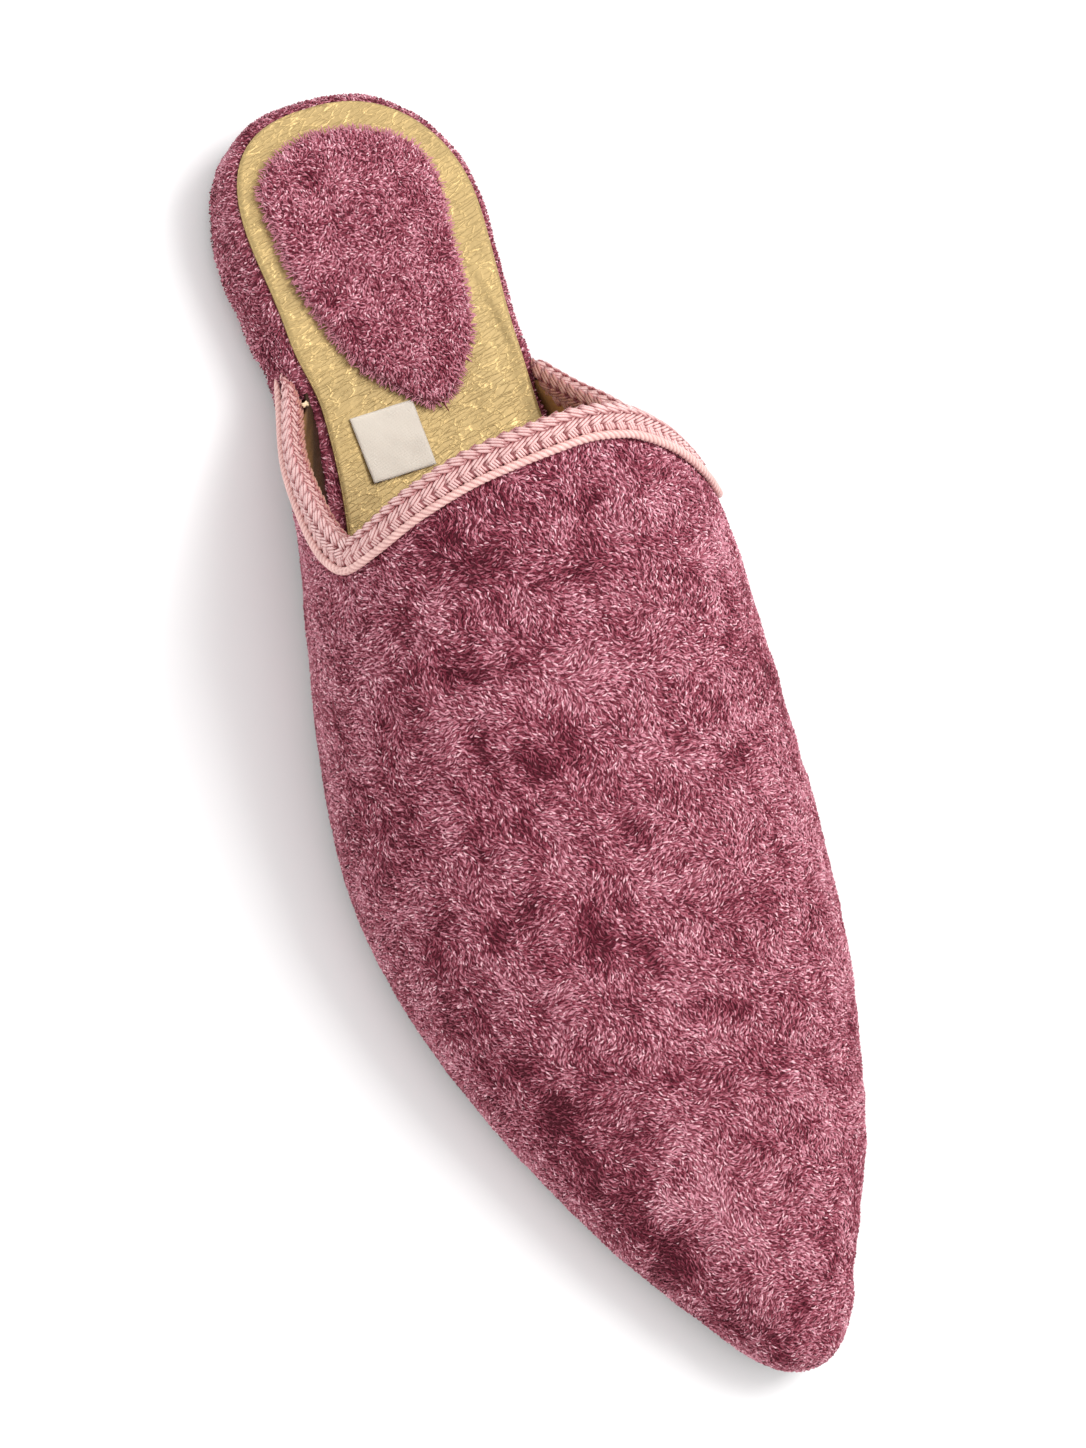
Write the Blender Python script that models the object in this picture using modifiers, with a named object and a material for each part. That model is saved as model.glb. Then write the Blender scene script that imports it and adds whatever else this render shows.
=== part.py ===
"""Babouche for the right foot: velvet mule with a pointed toe, a braided throat and a low wedge heel."""

import math

import bmesh
import bpy
import numpy as np

# Sizes are in millimetres and stations are counted from the heel's back towards the toe.
# The toe points to -Y, the lateral side is -X and the floor is z = 0.
MM = 0.001
LENGTH = 280.0
CENTRE_SHIFT = 5.1
HEEL_RUN = 33.3
HEEL_POWER = 2.48
TOE_RUN = 26.0
GAP = 0.3

# The last: station, centre line, half width at the sole, lean outward on the lateral and medial
# side, height of the widest place, height of the ridge and shift of the ridge from the centre line.
LAST_COLUMNS = ("station", "centre", "half", "lean_lateral", "lean_medial", "wide", "ridge", "shift")
LAST_ROWS = (
    (0, 0.3, 27.6, 0.6, 0.6, 12.0, 84.0, 0.0),
    (30, 2.9, 27.4, 0.6, 0.6, 18.0, 80.0, 0.0),
    (55, 0.8, 26.2, 1.2, 1.0, 26.0, 76.2, 2.0),
    (68, -0.6, 27.3, 5.2, 1.4, 28.6, 73.9, 3.4),
    (80, -1.6, 29.6, 5.3, 2.6, 29.5, 71.5, 4.5),
    (105, -2.9, 36.4, 3.9, 7.4, 27.0, 65.6, 5.0),
    (130, -4.6, 42.2, 2.8, 6.0, 22.0, 59.0, 4.5),
    (155, -5.9, 45.5, 2.3, 3.8, 17.3, 52.0, 3.6),
    (180, -5.4, 44.8, 2.0, 2.5, 14.0, 45.0, 2.8),
    (205, -3.8, 40.3, 1.7, 1.8, 11.7, 37.8, 2.0),
    (230, -2.5, 32.4, 1.4, 1.4, 10.0, 30.6, 1.1),
    (248, -2.1, 24.5, 1.2, 1.2, 9.0, 25.4, 0.5),
    (260, -2.3, 18.1, 1.0, 1.0, 8.4, 22.0, 0.2),
    (268, -2.2, 15.6, 1.0, 1.0, 8.1, 20.0, 0.0),
    (280, -1.5, 14.6, 1.0, 1.0, 7.8, 18.0, 0.0),
)
SECTION_POWER = 0.84
SIDE_SHARE = 0.30

# The topline: place along the girth, from -1 at the lateral sole over 0 at the ridge to 1 at the
# medial sole, and the station of the upper's edge there.
TOPLINE_COLUMNS = ("girth", "edge")
TOPLINE_ROWS = (
    (-1.00, 51.0), (-0.88, 51.0), (-0.85, 54.0), (-0.82, 59.0), (-0.78, 66.5), (-0.72, 76.0), (-0.64, 86.0),
    (-0.57, 92.0), (-0.52, 94.4), (-0.46, 93.8), (-0.32, 91.2), (-0.16, 89.6), (0.00, 89.4), (0.16, 91.2),
    (0.32, 96.4), (0.46, 103.2), (0.52, 105.6), (0.57, 101.8), (0.64, 91.2), (0.70, 82.5), (0.77, 76.7),
    (0.83, 71.4), (0.88, 67.5), (1.00, 67.5),
)
UPPER_WALL = 2.0
UPPER_RISES = (0, 0.07, 0.11, 0.12, 0.13, 0.14, 0.15, 0.165, 0.18, 0.2, 0.22, 0.24, 0.26, 0.28, 0.3, 0.33,
               0.36, 0.4, 0.43, 0.45, 0.465, 0.48, 0.495, 0.515, 0.54, 0.58, 0.63, 0.69, 0.76, 0.84, 0.92, 1)
UPPER_EDGE_SHARES = (0, 0.022, 0.05, 0.085)
UPPER_ROWS = 21

# The sole, by station: lift of the whole sole off the floor, height of the platform's top above
# that lift, and how far the insole lies inside the sole's outline on the lateral and medial side.
SOLE_COLUMNS = ("station", "lift", "bed", "insole_lateral", "insole_medial")
SOLE_ROWS = (
    (0, 0.0, 16.5, 2.4, 2.4),
    (47, 0.0, 16.0, 2.4, 1.9),
    (62, 0.0, 15.4, 5.2, 2.3),
    (90, 1.2, 13.1, 7.0, 6.4),
    (130, 0.0, 9.2, 6.0, 6.0),
    (165, 0.0, 7.2, 5.0, 5.0),
    (215, 0.0, 6.8, 5.0, 5.0),
    (250, 0.9, 6.5, 5.0, 5.0),
    (280, 3.2, 6.3, 5.0, 5.0),
)
OUTSOLE_THICK = 3.0
OUTSOLE_INSET = 0.8
OUTSOLE_EDGE = 0.6
INSOLE_THICK = 1.2
INSOLE_EDGE = 0.35
# The platform's rounded lip: share of the lip's inset and drop below the platform's top.
LIP_INSET = 2.2
LIP_DROP = 3.0
LIP_STEPS = 3
SOLE_STATIONS = (0, 0.5, 2, 4.5, 8, 12.5, 18, 25, 33, 42, 80, 90, 100, 110, 120, 130, 142, 155, 168, 180,
                 192, 204, 215, 225, 234, 242, 250, 257, 263, 268.5, 273, 276.3, 278.6, 279.7, 280)

# The teardrop heel pad: station, centre and half width, with round ends.
PAD_COLUMNS = ("station", "centre", "half")
PAD_ROWS = ((9, -0.5, 15.6), (18, 1.4, 17.8), (25, 2.0, 18.5), (37, 1.2, 17.2), (47, 1.5, 15.4),
            (56, 2.0, 12.8), (60, 2.4, 10.2), (63, 2.7, 7.7), (66, 2.7, 4.9), (69, 2.2, 2.8))
PAD_BACK_RUN = 10.0
PAD_TIP_RUN = 3.0
PAD_RIM = 1.0
PAD_DOME = 2.2
PAD_STEPS = 4
PAD_STATIONS = (9, 9.4, 10.6, 12.6, 15.5, 19, 25, 31, 37, 43, 49, 54, 58, 61, 63.7, 66, 67.8, 68.7, 69)

LABEL_SIDE = 14.2
LABEL_THICK = 0.6
LABEL_STATION = 73.6
LABEL_OFFSET = -10.2
LABEL_TURN = 2.0

BRAID_THICK = 1.0
BRAID_OUTER = 3.8
BRAID_INNER = 4.8
BRAID_END = 2.4
BRAID_TAPER = 26.0
BRAID_START = 0.12
BRAID_CLEAR = 2.2
BRAID_SAMPLES = 76
BRAID_GAP = 0.4
BRAID_BEND = 14.0
CORD_RADIUS = 0.8
CORD_GAP = 0.4
CORD_SIDES = 2

MATERIALS = {
    "velvet": ((0.36, 0.13, 0.18, 1.0), 0.9),
    "satin_braid": ((0.78, 0.47, 0.46, 1.0), 0.45),
    "cord_thread": ((0.80, 0.50, 0.46, 1.0), 0.5),
    "gold_leather": ((0.66, 0.50, 0.24, 1.0), 0.42),
    "label_cloth": ((0.86, 0.83, 0.76, 1.0), 0.85),
    "dark_leather": ((0.07, 0.045, 0.035, 1.0), 0.7),
}


def column(rows, names, name):
    """First column of a table and one named column."""
    table = np.array(rows, float)
    return table[:, 0], table[:, names.index(name)]


def blend(xs, ys, tangents, at):
    """Cubic curve through points with given slopes."""
    at = np.clip(np.asarray(at, float), xs[0], xs[-1])
    i = np.clip(np.searchsorted(xs, at, side="right") - 1, 0, len(xs) - 2)
    step = xs[i + 1] - xs[i]
    u = (at - xs[i]) / step
    start = (2 * u**3 - 3 * u**2 + 1) * ys[i] + (u**3 - 2 * u**2 + u) * step * tangents[i]
    end = (3 * u**2 - 2 * u**3) * ys[i + 1] + (u**3 - u**2) * step * tangents[i + 1]
    return start + end


def curve(rows, names, name, at):
    """Curve through one column of a table that keeps within each pair of rows."""
    xs, ys = column(rows, names, name)
    slopes = np.diff(ys) / np.diff(xs)
    product = slopes[1:] * slopes[:-1]
    total = slopes[1:] + slopes[:-1]
    tangents = np.zeros_like(ys)
    tangents[1:-1] = np.where(product > 0, 2 * product / np.where(total == 0, 1, total), 0)
    tangents[0] = slopes[0]
    tangents[-1] = slopes[-1]
    return blend(xs, ys, tangents, at)


def spline(rows, names, name, at):
    """Smoothest cubic curve through one column of a table."""
    xs, ys = column(rows, names, name)
    steps = np.diff(xs)
    slopes = np.diff(ys) / steps
    count = len(xs)
    system = np.zeros((count, count))
    target = np.zeros(count)
    for i in range(1, count - 1):
        system[i, i - 1] = steps[i]
        system[i, i] = 2 * (steps[i - 1] + steps[i])
        system[i, i + 1] = steps[i - 1]
        target[i] = 3 * (steps[i] * slopes[i - 1] + steps[i - 1] * slopes[i])
    system[0, :2] = (2, 1)
    system[-1, -2:] = (1, 2)
    target[0] = 3 * slopes[0]
    target[-1] = 3 * slopes[-1]
    return blend(xs, ys, np.linalg.solve(system, target), at)


def last(name, at):
    """One column of the last's table at a station."""
    return spline(LAST_ROWS, LAST_COLUMNS, name, at)


def sole(name, at):
    """One column of the sole's table at a station."""
    return curve(SOLE_ROWS, SOLE_COLUMNS, name, at)


def tip_round(at):
    """Factor that rounds the toe off to a tip."""
    share = np.clip((at - (LENGTH - TOE_RUN)) / TOE_RUN, 0, 1)
    return np.sqrt(1 - share**2)


def half_width(at):
    """Half width at the sole, rounded at the heel and at the toe."""
    share = np.clip((HEEL_RUN - at) / HEEL_RUN, 0, 1)
    heel_round = (1 - share**HEEL_POWER) ** (1 / HEEL_POWER)
    return last("half", at) * heel_round * tip_round(at)


def to_metres(x, at, z):
    """Point in metres from a sideways place, a station and a height."""
    return np.stack([(x + CENTRE_SHIFT) * MM, (LENGTH / 2 - at) * MM, z * MM], -1)


def upper_surface(at, girth):
    """Outside of the upper; girth runs from -1 (lateral sole) over 0 (ridge) to 1 (medial sole)."""
    at, girth = np.broadcast_arrays(np.asarray(at, float), np.asarray(girth, float))
    lateral = girth < 0
    side = np.where(lateral, -1.0, 1.0)
    rise = 1 - np.abs(girth)
    tip = tip_round(at)
    middle = last("centre", at)
    lean = np.where(lateral, last("lean_lateral", at), last("lean_medial", at)) * tip
    foot = OUTSOLE_THICK + GAP
    wide_z = foot + (last("wide", at) - foot) * (0.55 + 0.45 * tip)
    top_z = wide_z + (last("ridge", at) - wide_z) * tip
    ridge_x = middle + last("shift", at) * tip
    low = np.clip(rise / SIDE_SHARE, 0, 1)
    angle = np.clip((rise - SIDE_SHARE) / (1 - SIDE_SHARE), 0, 1) * math.pi / 2
    across = np.cos(angle) ** SECTION_POWER
    up = np.sin(angle)
    base_x = middle + side * half_width(at)
    wide_x = base_x + side * lean
    low_x = base_x + side * lean * np.sin(low * math.pi / 2)
    x = np.where(rise < SIDE_SHARE, low_x, ridge_x + (wide_x - ridge_x) * across)
    z = np.where(rise < SIDE_SHARE, foot + (wide_z - foot) * low, wide_z + (top_z - wide_z) * up)
    return to_metres(x, at, z + sole("lift", at))


def upper_edge(girth):
    """Station of the upper's edge for each place along the girth."""
    return curve(TOPLINE_ROWS, TOPLINE_COLUMNS, "edge", girth)


def surface_frame(at, girth):
    """Point on the upper with its two surface directions and its outward normal."""
    point = upper_surface(at, girth)
    along = (upper_surface(at + 0.05, girth) - upper_surface(at - 0.05, girth)) / 0.1
    around = (upper_surface(at, girth + 0.001) - upper_surface(at, girth - 0.001)) / 0.002
    normal = np.cross(along, around)
    normal = normal / np.linalg.norm(normal, axis=-1, keepdims=True)
    return point, along, around, normal


def walk(at, girth, direction, distance, steps=6):
    """Place reached on the upper by walking a distance straight ahead from each given place."""
    at = np.array(at, float)
    girth = np.array(girth, float)
    stride = np.broadcast_to(np.asarray(distance, float), at.shape) * MM / steps
    heading = direction
    for _ in range(steps):
        _, along, around, normal = surface_frame(at, girth)
        heading = heading - normal * np.sum(heading * normal, -1, keepdims=True)
        heading = heading / np.linalg.norm(heading, axis=-1, keepdims=True)
        aa = np.sum(along * along, -1)
        rr = np.sum(around * around, -1)
        ar = np.sum(along * around, -1)
        ha = np.sum(heading * along, -1)
        hr = np.sum(heading * around, -1)
        det = aa * rr - ar * ar
        at = at + stride * (ha * rr - hr * ar) / det
        girth = girth + stride * (hr * aa - ha * ar) / det
    return at, girth


def topline(count):
    """Places on the upper's edge from wing to wing, where it stands above the platform, closer in bends."""
    girth = np.linspace(BRAID_START - 1, 1 - BRAID_START, 1600)
    at = upper_edge(girth)
    point = upper_surface(at, girth)
    height = point[:, 2] / MM - sole("lift", at) - sole("bed", at)
    keep = height > BRAID_CLEAR
    girth = girth[keep]
    step = np.diff(point[keep], axis=0) / MM
    length = np.linalg.norm(step, axis=1)
    heading = step / length[:, None]
    bend = np.linalg.norm(np.diff(heading, axis=0), axis=1)
    run = np.concatenate([[0], np.cumsum(length)])
    count_run = run + BRAID_BEND * np.concatenate([[0, 0], np.cumsum(bend)])
    even = np.linspace(0, count_run[-1], count)
    girth = np.interp(even, count_run, girth)
    run = np.interp(even, count_run, run)
    return run, upper_edge(girth), girth


def edge_frame(count):
    """Topline places with the direction into the upper, the normal and the leg lengths of the braid."""
    run, at, girth = topline(count)
    point, along, _, normal = surface_frame(at, girth)
    tangent = np.gradient(point, axis=0)
    inward = np.cross(normal, tangent)
    inward = inward * np.sign(np.sum(inward * along, -1, keepdims=True))
    inward = inward / np.linalg.norm(inward, axis=1, keepdims=True)
    from_end = np.minimum(run, run[-1] - run)
    ease = np.clip(from_end / BRAID_TAPER, 0, 1)
    ease = ease * ease * (3 - 2 * ease)
    outer = BRAID_END + (BRAID_OUTER - BRAID_END) * ease
    height = point[:, 2] / MM - sole("lift", at) - sole("bed", at)
    inner = np.minimum(outer + BRAID_INNER - BRAID_OUTER, height - 1.0)
    return at, girth, point, inward, normal, outer, inner


def outline_point(side, at, inset):
    """Place on the sole's outline, moved inwards square to it."""
    middle = last("centre", at)
    x = middle + side * half_width(at)
    if at <= 0:
        return float(middle), inset
    if at >= LENGTH:
        return float(middle), LENGTH - inset
    step = 0.02
    before = last("centre", at - step) + side * half_width(at - step)
    after = last("centre", at + step) + side * half_width(at + step)
    slope = (after - before) / (2 * step)
    size = math.hypot(1.0, slope)
    return float(x - side * inset / size), float(at + side * slope * inset / size)


def ring(stations, inset, height):
    """Closed rim round the sole: heel, lateral side, toe, medial side."""
    rim = []
    for side, order in ((-1, stations[-1]), (1, stations[1][::-1])):
        for at, step in order:
            if side > 0 and (at <= 0 or at >= LENGTH):
                continue
            x, place = outline_point(side, at, step + inset(side, at))
            rim.append(to_metres(x, place, height(place)))
    return rim


def plain_stations():
    """The same stations on both sides, with no rebate."""
    middle = (51, 57, 63, 67, 73)
    stations = [(at, 0.0) for at in sorted(SOLE_STATIONS + middle)]
    return {-1: stations, 1: stations}


def rebate_stations():
    """Stations with a step on each side where the wing's wall begins."""
    rebate = UPPER_WALL + 1.5 * GAP
    lateral_end = TOPLINE_ROWS[0][1] - GAP
    medial_end = TOPLINE_ROWS[-1][1] - GAP
    lateral = [(at, 0.0) for at in SOLE_STATIONS if at < lateral_end]
    lateral += [(lateral_end, 0.0), (lateral_end, rebate), (60, rebate), (66, rebate), (73, rebate)]
    lateral += [(at, rebate) for at in SOLE_STATIONS if at > 75]
    medial = [(at, 0.0) for at in SOLE_STATIONS if at < lateral_end]
    medial += [(52, 0.0), (58, 0.0), (63, 0.0), (medial_end, 0.0), (medial_end, rebate)]
    medial += [(at, rebate) for at in SOLE_STATIONS if at > 75]
    return {-1: lateral, 1: medial}


def mesh_object(name, verts, faces, material):
    """Object from corner points and faces, welded and with its faces turned outwards."""
    mesh = bpy.data.meshes.new(name)
    mesh.from_pydata([tuple(float(c) for c in v) for v in verts], [], faces)
    work = bmesh.new()
    work.from_mesh(mesh)
    bmesh.ops.remove_doubles(work, verts=work.verts, dist=1e-6)
    bmesh.ops.recalc_face_normals(work, faces=work.faces)
    work.to_mesh(mesh)
    work.free()
    return add_object(name, mesh, material)


def add_object(name, data, material):
    """Named object with its material in the part's collection."""
    data.materials.append(material)
    item = bpy.data.objects.new(name, data)
    bpy.data.collections["babouche"].objects.link(item)
    return item


def stack_faces(count, rings):
    """Side faces between stacked rims of one count."""
    faces = []
    for level in range(rings - 1):
        for i in range(count):
            j = (i + 1) % count
            low = level * count
            high = low + count
            faces.append((low + i, low + j, high + j, high + i))
    return faces


def cap_faces(count, start):
    """Cross faces over a closed rim, pairing its lateral and medial stations."""
    half = count // 2
    faces = [(start, start + 1, start + count - 1)]
    for i in range(1, half - 1):
        faces.append((start + i, start + i + 1, start + count - i - 1, start + count - i))
    faces.append((start + half - 1, start + half, start + half + 1))
    return faces


def slab(name, stations, levels, material):
    """Solid stacked from rims, each with its inset and its height along the foot."""
    rims = [ring(stations, inset, height) for inset, height in levels]
    count = len(rims[0])
    verts = [point for rim in rims for point in rim]
    faces = stack_faces(count, len(rims))
    faces += [tuple(reversed(face)) for face in cap_faces(count, 0)]
    faces += cap_faces(count, (len(rims) - 1) * count)
    return mesh_object(name, verts, faces, material)


def level(inset, base, extra):
    """Rim with an even inset at a height above a base function."""
    return (lambda side, at: inset), (lambda at: base(at) + extra)


def lift_height(at):
    """Height of the outsole's underside."""
    return float(sole("lift", at))


def bed_height(at):
    """Height of the platform's top."""
    return float(sole("lift", at) + sole("bed", at))


def insole_inset(side, at):
    """How far the insole lies inside the outline on one side."""
    return float(sole("insole_lateral" if side < 0 else "insole_medial", at))


def build_outsole(material):
    """Thin leather sole with eased edges."""
    levels = [
        level(OUTSOLE_INSET + OUTSOLE_EDGE, lift_height, 0.0),
        level(OUTSOLE_INSET, lift_height, OUTSOLE_EDGE),
        level(OUTSOLE_INSET, lift_height, OUTSOLE_THICK),
    ]
    return slab("outsole", plain_stations(), levels, material)


def build_platform(material):
    """Wedge with a rounded top lip, rebated for the wings."""
    levels = [level(0.0, lift_height, OUTSOLE_THICK + GAP)]
    for i in range(LIP_STEPS + 1):
        angle = math.pi / 2 * i / LIP_STEPS
        inset = LIP_INSET * (1 - math.cos(angle))
        levels.append(level(inset, bed_height, -LIP_DROP * (1 - math.sin(angle))))
    return slab("platform", rebate_stations(), levels, material)


def build_insole(material):
    """Thin sheet that follows the platform's top."""
    levels = [
        (insole_inset, lambda at: bed_height(at) + GAP),
        (insole_inset, lambda at: bed_height(at) + GAP + INSOLE_THICK - INSOLE_EDGE),
        (lambda side, at: insole_inset(side, at) + INSOLE_EDGE, insole_top),
    ]
    return slab("insole", plain_stations(), levels, material)


def insole_top(at):
    """Height of the insole's top."""
    return bed_height(at) + GAP + INSOLE_THICK


def pad_half(at):
    """Half width of the pad with its round back and tip."""
    first = PAD_ROWS[0][0]
    final = PAD_ROWS[-1][0]
    back = min(max((first + PAD_BACK_RUN - at) / PAD_BACK_RUN, 0.0), 1.0)
    tip = min(max((at - final + PAD_TIP_RUN) / PAD_TIP_RUN, 0.0), 1.0)
    width = float(curve(PAD_ROWS, PAD_COLUMNS, "half", at))
    return width * math.sqrt(1 - back**2) * math.sqrt(1 - tip**2)


def build_pad(material):
    """Domed teardrop pad on the insole."""
    outline = [(-1, at) for at in PAD_STATIONS] + [(1, at) for at in PAD_STATIONS[-2:0:-1]]
    middle_at = (PAD_ROWS[0][0] + PAD_ROWS[-1][0]) / 2
    middle_x = float(curve(PAD_ROWS, PAD_COLUMNS, "centre", middle_at))
    shares = [(1.0, 0.0), (1.0, PAD_RIM)]
    for i in range(1, PAD_STEPS):
        angle = math.pi / 2 * i / PAD_STEPS
        shares.append((math.cos(angle) ** 0.7, PAD_RIM + PAD_DOME * math.sin(angle)))
    verts = []
    for share, height in shares:
        for side, at in outline:
            x = float(curve(PAD_ROWS, PAD_COLUMNS, "centre", at)) + side * pad_half(at)
            place = middle_at + (at - middle_at) * share
            verts.append(to_metres(middle_x + (x - middle_x) * share, place, insole_top(place) + GAP + height))
    count = len(outline)
    faces = stack_faces(count, len(shares))
    faces += [tuple(reversed(face)) for face in cap_faces(count, 0)]
    top = len(verts)
    verts.append(to_metres(middle_x, middle_at, insole_top(middle_at) + GAP + PAD_RIM + PAD_DOME))
    last_ring = (len(shares) - 1) * count
    faces += [(last_ring + i, last_ring + (i + 1) % count, top) for i in range(count)]
    return mesh_object("heel_pad", verts, faces, material)


def build_label(material):
    """Thin square laid on the insole, a little turned."""
    cells = 4
    turn = math.radians(LABEL_TURN)
    verts = []
    for height in (0.0, LABEL_THICK):
        for i in range(cells + 1):
            for j in range(cells + 1):
                u = (i / cells - 0.5) * LABEL_SIDE
                v = (j / cells - 0.5) * LABEL_SIDE
                x = LABEL_OFFSET + u * math.cos(turn) - v * math.sin(turn)
                at = LABEL_STATION + u * math.sin(turn) + v * math.cos(turn)
                verts.append(to_metres(x, at, insole_top(at) + GAP + height))
    row = cells + 1
    layer = row * row
    faces = []
    for i in range(cells):
        for j in range(cells):
            a = i * row + j
            faces.append((a, a + 1, a + row + 1, a + row))
            faces.append((layer + a, layer + a + row, layer + a + row + 1, layer + a + 1))
    border = [j for j in range(row)]
    border += [i * row + cells for i in range(1, row)]
    border += [cells * row + j for j in range(cells - 1, -1, -1)]
    border += [i * row for i in range(cells - 1, 0, -1)]
    for k, a in enumerate(border):
        b = border[(k + 1) % len(border)]
        faces.append((a, b, layer + b, layer + a))
    return mesh_object("label", verts, faces, material)


def build_upper(material):
    """Hollow vamp with wings: the last's outside from edge to toe, thickened inwards."""
    girth = np.array([rise - 1 for rise in UPPER_RISES] + [1 - rise for rise in UPPER_RISES[-2::-1]])
    edge = upper_edge(girth)
    start = math.asin(UPPER_EDGE_SHARES[-1])
    share = np.sin(np.linspace(start, math.pi / 2, UPPER_ROWS))
    share = np.concatenate([UPPER_EDGE_SHARES[:-1], share])
    rows = len(share)
    at = edge[None, :] + (LENGTH - edge[None, :]) * share[:, None]
    grid = upper_surface(at, np.broadcast_to(girth, at.shape))
    columns = len(girth)
    verts = grid.reshape(-1, 3)
    faces = []
    for i in range(rows - 1):
        for j in range(columns - 1):
            a = i * columns + j
            faces.append((a, a + 1, a + columns + 1, a + columns))
    item = mesh_object("upper", verts, faces, material)
    wall = item.modifiers.new("wall", "SOLIDIFY")
    wall.thickness = UPPER_WALL * MM
    wall.offset = -1.0
    wall.use_even_offset = True
    wall.use_quality_normals = True
    return item


def build_braid(material):
    """Braid folded over the edge, cut as a channel that follows the upper's own surface."""
    at, girth, point, inward, normal, outer, inner = edge_frame(BRAID_SAMPLES)
    near = BRAID_GAP
    far = BRAID_GAP + BRAID_THICK
    back = -UPPER_WALL - BRAID_GAP
    deep = back - BRAID_THICK
    fold = (near + deep) / 2
    section = (
        (1, 1.0, near), (1, 1.0, far * 0.75), (1, 0.8, far), (1, 0.3, far),
        (0, -far * 0.55, far * 0.72), (0, -far, fold), (0, -far * 0.55, deep - (far * 0.72 - far)),
        (2, 0.3, deep), (2, 0.8, deep), (2, 1.0, deep + BRAID_THICK * 0.3), (2, 1.0, back),
        (2, 0.4, back), (0, -near, back), (0, -near, near), (1, 0.4, near),
    )
    lines = []
    for kind, reach, offset in section:
        if kind == 0:
            lines.append(point + inward * reach * MM + normal * offset * MM)
            continue
        length = outer if kind == 1 else inner
        place, turn = walk(at, girth, inward, length * reach)
        ground, _, _, out = surface_frame(place, turn)
        lines.append(ground + out * offset * MM)
    count = len(section)
    verts = np.stack(lines, 1).reshape(-1, 3)
    faces = stack_faces(count, BRAID_SAMPLES)
    faces.append(tuple(range(count - 1, -1, -1)))
    faces.append(tuple((BRAID_SAMPLES - 1) * count + i for i in range(count)))
    return mesh_object("collar_braid", verts, faces, material)


def build_cord(material):
    """Thin round cord along the braid's lower edge."""
    at, girth, _, inward, _, outer, _ = edge_frame(BRAID_SAMPLES)
    place, turn = walk(at, girth, inward, outer + CORD_GAP + CORD_RADIUS)
    ground, _, _, out = surface_frame(place, turn)
    path = ground + out * (GAP + CORD_RADIUS) * MM
    data = bpy.data.curves.new("edge_cord", "CURVE")
    data.dimensions = "3D"
    data.bevel_depth = CORD_RADIUS * MM
    data.bevel_resolution = CORD_SIDES
    data.use_fill_caps = True
    line = data.splines.new("POLY")
    line.points.add(len(path) - 1)
    for spot, where in zip(line.points, path):
        spot.co = (float(where[0]), float(where[1]), float(where[2]), 1.0)
    return add_object("edge_cord", data, material)


def make_material(name):
    """Plain material from the table of colours and roughness."""
    colour, rough = MATERIALS[name]
    material = bpy.data.materials.new(name)
    material.use_nodes = True
    shader = material.node_tree.nodes["Principled BSDF"]
    shader.inputs["Base Color"].default_value = colour
    shader.inputs["Roughness"].default_value = rough
    shader.inputs["Metallic"].default_value = 0.0
    return material


def main():
    """Build every piece of the shoe."""
    for item in list(bpy.data.objects):
        bpy.data.objects.remove(item, do_unlink=True)
    group = bpy.data.collections.new("babouche")
    bpy.context.scene.collection.children.link(group)
    kinds = {name: make_material(name) for name in MATERIALS}
    build_outsole(kinds["dark_leather"])
    build_platform(kinds["velvet"])
    build_insole(kinds["gold_leather"])
    build_pad(kinds["velvet"])
    build_label(kinds["label_cloth"])
    build_upper(kinds["velvet"])
    build_braid(kinds["satin_braid"])
    build_cord(kinds["cord_thread"])


main()
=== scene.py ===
"""Velvet babouche: pile, plaited braid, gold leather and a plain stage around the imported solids."""

import math

import bmesh
import bpy
import numpy as np
from mathutils import Matrix, Vector


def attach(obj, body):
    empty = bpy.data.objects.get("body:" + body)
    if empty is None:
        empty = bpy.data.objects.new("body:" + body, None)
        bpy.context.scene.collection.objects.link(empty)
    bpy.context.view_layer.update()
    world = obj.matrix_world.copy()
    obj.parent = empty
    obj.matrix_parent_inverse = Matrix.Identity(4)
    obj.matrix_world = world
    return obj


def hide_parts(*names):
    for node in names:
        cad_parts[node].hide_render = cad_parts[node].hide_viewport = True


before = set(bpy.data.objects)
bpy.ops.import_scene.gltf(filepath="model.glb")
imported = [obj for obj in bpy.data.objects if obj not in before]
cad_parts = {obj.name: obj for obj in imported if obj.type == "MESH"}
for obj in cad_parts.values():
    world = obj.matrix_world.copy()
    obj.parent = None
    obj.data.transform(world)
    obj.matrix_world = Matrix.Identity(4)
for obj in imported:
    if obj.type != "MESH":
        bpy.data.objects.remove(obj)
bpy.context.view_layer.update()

bl_info = {
    "name": "Velvet Babouche",
    "version": (1, 0, 0),
    "blender": (4, 5, 0),
    "location": "View3D > Sidebar > Babouche",
    "description": "Dresses the babouche's solids in crushed velvet, braid and gold leather",
    "category": "Object",
}

# Sizes are in millimetres and stations are counted from the heel's back towards the toe.
# The toe points to -Y, the lateral side is -X and the floor is z = 0.
MM = 0.001
UP = np.array((0.0, 0.0, 1.0))
AHEAD = np.array((0.0, -1.0, 0.0))
ASIDE = np.array((1.0, 0.0, 0.0))
LENGTH = 280.0
CENTRE_SHIFT = 5.1
HEEL_RUN = 33.3
HEEL_POWER = 2.48
TOE_RUN = 26.0
# Gap between pieces that meet.
GAP = 0.3

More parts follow.
